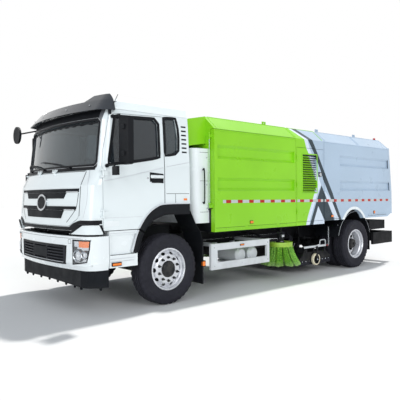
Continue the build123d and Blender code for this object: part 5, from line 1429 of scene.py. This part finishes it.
def roof_trim():
    for body, spans, name, finish in (("root", ((-0.90, -2.86), (-2.88, -3.72)), "body", "green"),
                                      ("hopper", ((-3.80, -5.02), (-5.05, -6.30)), "hopper", "silver")):
        p = Piece(f"roof_seams_{name}", body, "body_green" if name == "body" else "body_silver")
        for a, b in spans:
            for y in (-1.019, 1.019):
                p.tube([roof_at(a - 0.02, y, 0.001), roof_at(b + 0.02, y, 0.001)], 0.006, finish, 8, False)
            for x in (a - 0.012, b + 0.012):
                path = [roof_at(x, y, 0.001) for y in (-1.235, -1.02, 0, 1.02, 1.235)]
                p.tube(path, 0.006, finish, 8, False)
            for y in (-0.5, 0.0, 0.5):
                p.tube([roof_at(a - 0.06, y, 0.0), roof_at(b + 0.06, y, 0.0)], 0.005, finish, 8, False)
        p.done()
    # service hatch on the roof with its handle, and a lamp by the back edge
    p = Piece("roof_hatch", "hopper", "body_silver")
    p.block(X(-5.95), X(-5.25), -0.42, 0.42, ROOF_Z, ROOF_Z + 0.030, "silver", 0.012)
    p.tube([(X(-5.35), -0.10, ROOF_Z + 0.028), (X(-5.33), -0.10, ROOF_Z + 0.062),
            (X(-5.33), 0.10, ROOF_Z + 0.062),
            (X(-5.35), 0.10, ROOF_Z + 0.028)], 0.007, "steel", 8)
    for y in (-0.36, 0.36):
        p.lathe([(0, -0.05), (0.013, -0.05), (0.013, 0.05), (0, 0.05)], (X(-5.965), y, ROOF_Z + 0.012),
                (0, 1, 0), "gear", 16, False)
    p.done()
    for side, s in SIDES:
        p = Piece(f"roof_lamp_{side}", "hopper", "lamp_lens", s)
        spot = (X(-6.156), 0.985, ROOF_Z)
        p.lathe([(0, 0), (0.034, 0), (0.034, 0.012), (0, 0.014)], spot, (0, 0, 1), "trim", 24, False)
        p.lathe([(0, 0.012), (0.028, 0.012), (0.028, 0.042), (0.020, 0.052), (0, 0.054)], spot, (0, 0, 1),
                "red_lens", 24, False)
        p.done()


def hood_details():
    """Intake slats across the hood's face and the white cover's seams."""
    p = Piece("hood_slats", "root", "trim_black")
    for k in range(9):
        z = 2.385 + 0.035 * k
        p.block(X(-0.4705), X(-0.4665), -0.86, 0.86, z, z + 0.016, "trim", 0.0015)
    for y in (-0.9, 0.9):
        p.tube([(X(-0.4685), y, 2.37), (X(-0.4685), y, 2.70)], 0.006, "green", 8, False)
    p.done()
    p = Piece("fairing_trim", "root", "cab_white")
    for s in (1, -1):
        q = Piece("trim", "root", "cab_white", s)
        for z in (1.30, 1.78, 2.22):
            q.block(X(-0.836), X(-0.66), 1.1195, 1.1215, z - 0.0025, z + 0.0025, "trim", 0.0008)
        for z in (1.36, 1.72, 2.14):
            q.bolt((X(-0.80), 1.1205, z), (0, 1, 0), 0.008)
        # grab bar at the cover's side
        q.tube([(X(-0.72), 1.119, 1.45), (X(-0.72), 1.158, 1.47), (X(-0.72), 1.158, 1.93),
                (X(-0.72), 1.119, 1.95)], 0.010,
               "trim", 10)
        merge(p, q, s)
    p.done()


def tail_at(y, z, lift):
    """A point over the tailgate's leaning back face."""
    points = ((2.606, -6.357), (1.600, -6.470), (1.110, -6.480))
    for (za, xa), (zb, xb) in zip(points, points[1:]):
        if z >= zb or zb == 1.110:
            t = (za - z) / (za - zb)
            x = xa + (xb - xa) * t
            out = Vector((-(za - zb), 0, xa - xb)).normalized()
            if out.x > 0:
                out = -out
            return Vector((X(x), y, z)) + out * lift
    return Vector((X(-6.48), y, z))


def tailgate_details():
    p = Piece("tailgate_trim", "tailgate", "body_silver")
    # pressed ribs
    for z in (1.30, 1.86, 2.42):
        sheet(p, tail_at, spread(-1.12, 1.12, 12), (z - 0.045, z - 0.030, z + 0.030, z + 0.045), "silver",
              0.016)
    for y in (-1.17, -0.40, 0.40, 1.17):
        sheet(p, tail_at, [y + d for d in (-0.032, 0.032)], spread(1.14, 2.58, 8), "silver", 0.012)
    for s in (1, -1):
        for z in (1.20, 1.45):
            p.block(X(-6.50), X(-6.472), s * 1.06 - 0.03, s * 1.06 + 0.03, z - 0.04, z + 0.04, "gear", 0.006)
        for a, b, tone in ((0.62, 0.90, "red"), (0.90, 1.12, "white"), (0.50, 0.62, "white")):
            sheet(p, tail_at, (s * a, s * b), (1.46, 1.52), f"strip_{tone}", 0.004)
    sheet(p, tail_at, (-0.23, 0.23), (1.205, 1.255), "white", 0.006)
    # work lamp, drain valve and its lever
    spot = tail_at(0.0, 1.16, 0.0)
    p.lathe([(0, 0), (0.085, 0), (0.085, 0.012), (0.058, 0.014), (0.058, 0.040), (0, 0.040)], spot,
            (-1, 0, 0), "gear", 32, False)
    for c, d in circle(8):
        p.bolt(spot + Vector((-0.011, 0.071 * c, 0.071 * d)), (-1, 0, 0), 0.006)
    p.tube([spot + Vector((-0.04, 0, 0)), spot + Vector((-0.045, 0.06, 0.03)),
            spot + Vector((-0.045, 0.20, 0.035))], 0.008,
           "dark_red", 8)
    p.done()
    p = Piece("tailgate_seal", "tailgate", "trim_black")
    for s in (1, -1):
        path = [tail_at(s * 1.232, z, -0.0935) for z in spread(1.12, 2.58, 8)]
        p.tube(path, 0.006, "rubber", 8, False)
    p.done()


def rear_details():
    """Number plate holder, small lamps and bolts on the rear bumper."""
    back = X(BUMPER_BACK)
    p = Piece("rear_bumper_trim", "root", "trim_black")
    p.block(back - 0.004, back + 0.006, -0.26, 0.26, 0.492, 0.622, "trim", 0.004)
    p.block(back - 0.007, back - 0.003, -0.235, 0.235, 0.505, 0.610, "white", 0.002)
    for s in (1, -1):
        for y in (0.40, 0.62):
            p.lathe([(0, 0), (0.034, 0), (0.034, 0.004), (0.028, 0.009), (0, 0.010)],
                    (back + 0.001, s * y, 0.57), (-1, 0, 0),
                    "red_lens" if y > 0.5 else "clear", 24, False)
        for k in range(4):
            p.bolt((back + 0.001, s * 0.78, 0.53 + 0.027 * k), (-1, 0, 0), 0.007)
    p.done()


def rear_arch():
    """Black guards inside the rear arches, with thin painted highlights along their rims."""
    for side, s in SIDES:
        p = Piece(f"rear_arch_{side}", "root", "trim_black", s)
        cx, cz, r = X(REAR_AXLE), 0.56, 0.625
        # the light grey band along each rim is a painted highlight
        for y0, y1, finish, dr in ((1.150, 1.164, "trim", 0.006), (1.160, 1.1665, "guard", 0.008)):
            path = arc_points(cx, cz, r + dr, 14, 166, 48)
            inner = arc_points(cx, cz, r - 0.010 + dr * 0.3, 14, 166, 48)
            verts, faces = [], []
            for (ax_, az), (bx, bz) in zip(path, inner):
                if finish == "guard":
                    bx, bz = ax_ * 0.8 + bx * 0.2, az * 0.8 + bz * 0.2
                verts += [(ax_, y0, az), (ax_, y1, az), (bx, y1, bz), (bx, y0, bz)]
            for i in range(len(path) - 1):
                for k in range(4):
                    faces.append([i * 4 + k, i * 4 + (k + 1) % 4, i * 4 + 4 + (k + 1) % 4, i * 4 + 4 + k])
            p.add(verts, faces, finish)
        for a in (35, 70, 110, 145):
            c, d = math.cos(math.radians(a)), math.sin(math.radians(a))
            p.bolt((cx + (r + 0.001) * c, 1.08, cz + (r + 0.001) * d), (c, 0, d), 0.009)
        p.done()


# ---------------------------------------------------------------- chassis, guards and sweeping gear
def chassis_details():
    p = Piece("chassis_rivets", "root", "chassis_black")
    for s in (1, -1):
        for k in range(44):
            x = 0.90 - 0.155 * k
            if x < -5.75:
                break
            for z in (0.70, 0.89):
                p.bolt((X(x), s * 0.430, z), (0, s, 0), 0.009, "gear")
    p.done()
    # brake and air lines along the rails, and hoses down to the gear
    p = Piece("chassis_lines", "root", "gear_black")
    for s in (1, -1):
        for k, (z, r, finish) in enumerate(((0.765, 0.008, "gear"), (0.79, 0.006, "steel"),
                                            (0.815, 0.007, "rubber"))):
            path = [(X(0.6), s * 0.438, z)]
            path += [(X(0.6 - 0.5 * i), s * (0.440 + 0.006 * math.sin(i * 1.7 + k)),
                      z + 0.006 * math.sin(i * 2.3 + k)) for i in range(1, 9)]
            p.tube(path, r, finish, 6)
    for x, z0, z1, y0, y1 in ((-2.36, 0.86, 0.68, 0.46, 0.60), (-2.46, 0.84, 0.70, 0.47, 0.72),
                              (-3.18, 0.88, 0.60, 0.45, 0.80),
                              (-3.26, 0.85, 0.58, 0.46, 0.78), (-4.48, 0.86, 0.62, 0.45, 0.70)):
        for s in (1, -1):
            p.tube([(X(x), s * y0, z0), (X(x) - 0.05, s * (y0 + y1) / 2, z0 - 0.02),
                    (X(x) - 0.08, s * y1, (z0 + z1) / 2),
                    (X(x) - 0.02, s * y1 * 0.98, z1)], 0.014, "rubber", 8)
    p.done()


def guard_details():
    for side, s in SIDES:
        p = Piece(f"guard_bolts_{side}", "root", "guard_grey", s)
        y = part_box("side_guards")[1][1]
        for x in (-0.865, -1.478, -2.115):
            for z in (0.455, 0.745):
                p.bolt((X(x), y, z), (0, 1, 0), 0.009)
        p.block(X(-1.53), X(-1.43), y - 0.001, y + 0.008, 0.735, 0.765, "trim", 0.003)
        p.block(X(-1.52), X(-1.44), y + 0.006, y + 0.014, 0.740, 0.760, "amber", 0.003)
        p.done()


# ---------------------------------------------------------------- brushes and nozzle
BRUSH_X, BRUSH_Y = -2.78, 0.95
RING_R, BRISTLE_R = 0.225, 0.370


def tuft(piece, rng, cx, cy, root_r, tip_r, angle, strands, low):
    """A bunch of plastic strands that spreads from the plate to its uneven tips."""
    lean = rng.gauss(0.05, 0.05)
    reach = tip_r - abs(rng.gauss(0, 0.012))
    for _ in range(strands):
        da, dr = rng.gauss(0, 0.008 / root_r), rng.gauss(0, 0.007)
        tip_a = angle + lean + da * 0.6 + rng.gauss(0, 0.048)
        r_tip = min(reach + rng.gauss(0, 0.012), BRISTLE_R - 0.001)
        z_tip = low + abs(rng.gauss(0, 0.009))
        w = rng.uniform(0.0016, 0.0026)
        path = []
        for f in (0.0, 0.35, 0.7, 1.0):
            r = root_r + dr + (r_tip - root_r - dr) * f ** 1.25
            a = angle + da + (tip_a - angle - da) * f
            path.append(Vector((cx + r * math.cos(a), cy + r * math.sin(a),
                                0.616 + (z_tip - 0.616) * f ** 0.95)))
        u = Vector((-math.sin(angle), math.cos(angle), 0)) * w
        v = Vector((math.cos(angle), math.sin(angle), 0.4)).normalized() * w
        verts = [q + d for q in path for d in (u, v, -u - v * 0.6)]
        faces = [[i * 3 + k, i * 3 + (k + 1) % 3, i * 3 + 3 + (k + 1) % 3, i * 3 + 3 + k]
                 for i in range(3) for k in range(3)] + [[9, 10, 11]]
        piece.add(verts, faces, "bristle")


def brushes():
    """A plate with its raised ring, and tufts of bristles flaring out to the ground."""
    rng = random.Random(7)
    cx, cy = X(BRUSH_X), BRUSH_Y
    for side, s in SIDES:
        p = Piece(f"brush_{side}", f"brush_disc_{side}", "bristle", s, (f"brush_disc_{side}",))
        r = RING_R
        p.lathe([(0.031, 0.622), (r - 0.09, 0.618), (r - 0.03, 0.606), (r - 0.002, 0.606), (r, 0.612),
                 (r, 0.686),
                 (r - 0.003, 0.690), (r - 0.011, 0.690), (r - 0.014, 0.686), (r - 0.014, 0.652),
                 (0.031, 0.648)],
                (cx, cy, 0), (0, 0, 1), "ring", 64)
        for c, d in circle(10):
            p.bolt((cx + 0.165 * c, cy + 0.165 * d, 0.650), (0, 0, 1), 0.010)
        for root_r, tip_r, count, strands, low in ((r - 0.018, 0.362, 25, 64, 0.263),
                                                   (r - 0.060, 0.300, 18, 40, 0.262)):
            for t in range(count):
                a = 2 * math.pi * t / count + rng.gauss(0, 0.02)
                tuft(p, rng, cx, cy, root_r, tip_r, a, strands, low + abs(rng.gauss(0, 0.014)))
        p.done(60)


def brush_gear():
    """The motor on each brush arm with its hoses, clamps and grease pipe, and the nuts under the head."""
    for side, s in SIDES:
        p = Piece(f"brush_motor_{side}", f"brush_arm_{side}", "gear_black", s)
        cx, cy = X(BRUSH_X), BRUSH_Y
        p.lathe([(0.034, 0.741), (0.060, 0.741), (0.060, 0.758), (0.052, 0.762), (0.052, 0.845),
                 (0.056, 0.850), (0.056, 0.872),
                 (0.034, 0.872)], (cx, cy, 0), (0, 0, 1), "gear", 36)
        for c, d in circle(6, 0.5):
            p.bolt((cx + 0.0525 * c, cy + 0.0525 * d, 0.7585), (0, 0, 1), 0.005)
        p.block(cx - 0.035, cx + 0.035, cy + 0.048, cy + 0.072, 0.775, 0.825, "steel", 0.005)
        for dx in (-0.018, 0.018):
            p.tube([(cx + dx, cy + 0.065, 0.82), (cx + dx + 0.02, cy + 0.07, 0.87),
                    (cx + 0.16 + dx, cy - 0.02, 0.845),
                    (cx + 0.30 + dx, cy - 0.12, 0.80), (X(-2.27) + dx, 0.735, 0.765)], 0.011, "rubber", 8)
        # clamps and a grease pipe along the arm
        ax, ay = X(-2.24), 0.70
        for f in (0.3, 0.62):
            x, y = ax + (cx - ax) * f, ay + (cy - ay) * f
            p.lathe([(0, 0), (0.040, 0), (0.040, 0.010), (0, 0.012)], (x, y, 0.7405), (0, 0, 1), "steel", 20,
                    False)
            p.bolt((x, y, 0.752), (0, 0, 1), 0.011)
        p.tube([(ax - 0.05, ay + 0.055, 0.748), ((ax + cx) / 2, (ay + cy) / 2 + 0.02, 0.752),
                (cx + 0.06, cy - 0.02, 0.748)], 0.006,
               "steel", 8)
        p.done()

        p = Piece(f"brush_ring_nuts_{side}", f"brush_head_{side}", "gear_black", s)
        p.lathe([(0.031, 0.6935), (0.068, 0.6935), (0.066, 0.6975), (0.031, 0.6975)], (cx, cy, 0), (0, 0, 1),
                "steel", 30)
        for c, d in circle(6):
            p.bolt((cx + 0.066 * c, cy + 0.066 * d, 0.6555), (0, 0, -1), 0.006)
        p.done()


def caster_form():
    """Cream tyre on a dark spoked wheel."""
    for side, s in SIDES:
        p = Piece(f"caster_form_{side}", f"caster_{side}", "caster_cream", s, (f"caster_{side}",))
        x, y, z = centre = (X(CASTER[0]), *CASTER[1:])
        p.lathe([(0.088, -0.027), (0.110, -0.029), (0.1165, -0.020), (0.118, -0.010), (0.118, 0.010),
                 (0.1165, 0.020), (0.110, 0.029),
                 (0.088, 0.027)], centre, (0, 1, 0), "cream", 48)
        p.lathe([(0.074, -0.022), (0.0885, -0.026), (0.0885, 0.026), (0.074, 0.022), (0.080, 0.0)], centre,
                (0, 1, 0), "trim", 48)
        p.lathe([(0.0125, -0.030), (0.030, -0.030), (0.033, -0.024), (0.033, 0.024), (0.030, 0.030),
                 (0.0125, 0.030)], centre, (0, 1, 0),
                "trim", 30)
        for c, d in circle(6):
            p.tube([(x + r * c, y, z + r * d) for r in (0.030, 0.079)], 0.0085, "trim", 8, False)
        p.done()


NOZZLE_EDGE_Y = 1.008
CASTER = (-3.81, 1.005, 0.272)


def nozzle_details():
    for side, s in SIDES:
        p = Piece(f"nozzle_trim_{side}", "suction_nozzle", "nozzle_black", s)
        p.block(X(-4.206), X(-3.404), 1.0235, 1.0295, 0.512, 0.548, "guard", 0.003)
        p.block(X(-4.206), X(-3.404), 0.990, 1.028, 0.544, 0.549, "guard", 0.002)
        # bent lifting handle
        handle = ((-3.945, 0.546), (-3.955, 0.625), (-3.985, 0.642), (-4.105, 0.642), (-4.135, 0.625),
                  (-4.144, 0.546))
        p.tube([(X(x), NOZZLE_EDGE_Y, z) for x, z in handle], 0.010, "guard", 10)
        # diagonal brace and the skirt's rubber lip
        p.tube([(X(-3.50), NOZZLE_EDGE_Y, 0.53), (X(-3.43), 0.955, 0.33)], 0.012, "gear", 10, False)
        p.block(X(-4.395), X(-3.375), 0.9455, 0.9525, 0.1705, 0.262, "rubber", 0.003)
        for k in range(9):
            p.bolt((X(-4.33 + 0.111 * k), 0.952, 0.245), (0, 1, 0), 0.008)
        p.block(X(-4.175), X(-4.125), 0.95, 0.984, 0.50, 0.5145, "dark_red", 0.003)
        p.lathe([(0, 0), (0.020, 0), (0.020, 0.03), (0, 0.033)], (X(-4.15), 1.0295, 0.53), (0, 1, 0),
                "dark_red", 20, False)
        # bolts of the caster's fork
        for y, out in ((1.0505, 1), (0.9595, -1)):
            p.bolt((X(CASTER[0]), y, CASTER[2]), (0, out, 0), 0.013)
        p.bolt((X(CASTER[0]), CASTER[1], 0.5305), (0, 0, 1), 0.016)
        p.done()
    # rubber lips across the nozzle's front and back
    p = Piece("nozzle_lips", "suction_nozzle", "nozzle_black")
    for x, out in ((-3.370, 1), (-4.400, -1)):
        p.block(X(x) - 0.001 * out, X(x) + 0.007 * out, -0.94, 0.94, 0.171, 0.25, "rubber", 0.002)
        for k in range(12):
            p.bolt((X(x) + 0.007 * out, -0.88 + 0.16 * k, 0.232), (out, 0, 0), 0.008)
    p.done()


def gear_hangers():
    """A chain and the washing water pipe beside the gear, fixed to the chassis."""
    for side, s in SIDES:
        p = Piece(f"gear_hangers_{side}", "root", "gear_black", s)
        # bar out from the rail, with a chain under it
        x, y = X(-4.29), 0.985
        p.block(x - 0.012, x + 0.012, 0.4295, y + 0.02, 0.895, 0.915, "gear", 0.003)
        for k in range(16):
            z = 0.89 - 0.024 * k
            ring = [(0.010 * math.cos(t), 0.016 * math.sin(t)) for t in spread(0, 2 * math.pi, 10)[:-1]]
            path = [Vector((x + (c if k % 2 else 0), y + (0 if k % 2 else c), z + d)) for c, d in ring]
            p.tube(path + path[:1], 0.0028, "guard", 6, False)
        # washing water pipe with its spray heads along the body's lower edge
        pipe = [(X(-0.93), 1.0, 0.960), (X(-2.9), 1.0, 0.960)]
        p.tube(pipe, 0.012, "trim", 10, False)
        for k in range(7):
            px = -1.05 - 0.30 * k
            p.lathe([(0, 0), (0.012, 0), (0.009, 0.028), (0.004, 0.034), (0, 0.034)], (X(px), 1.0, 0.950),
                    (0, 0.3, -1), "trim", 12,
                    False)
            p.block(X(px) - 0.115, X(px) - 0.095, 0.43 if k % 3 == 0 else 0.98, 1.02, 0.962, 0.9895, "trim",
                    0.003)
        p.done()


cab_front()
roof_details()
visor_details()
arch_trim()
door_details()
step_details()
bumper_details()
louvre_details()
body_shadow_lines()
roof_trim()
hood_details()
tailgate_details()
rear_details()
rear_arch()
chassis_details()
guard_details()
brush_gear()
caster_form()
nozzle_details()
gear_hangers()
reflective_strips()
body_details()
wheels()
brushes()
lamps()
finish_nodes()
floor()
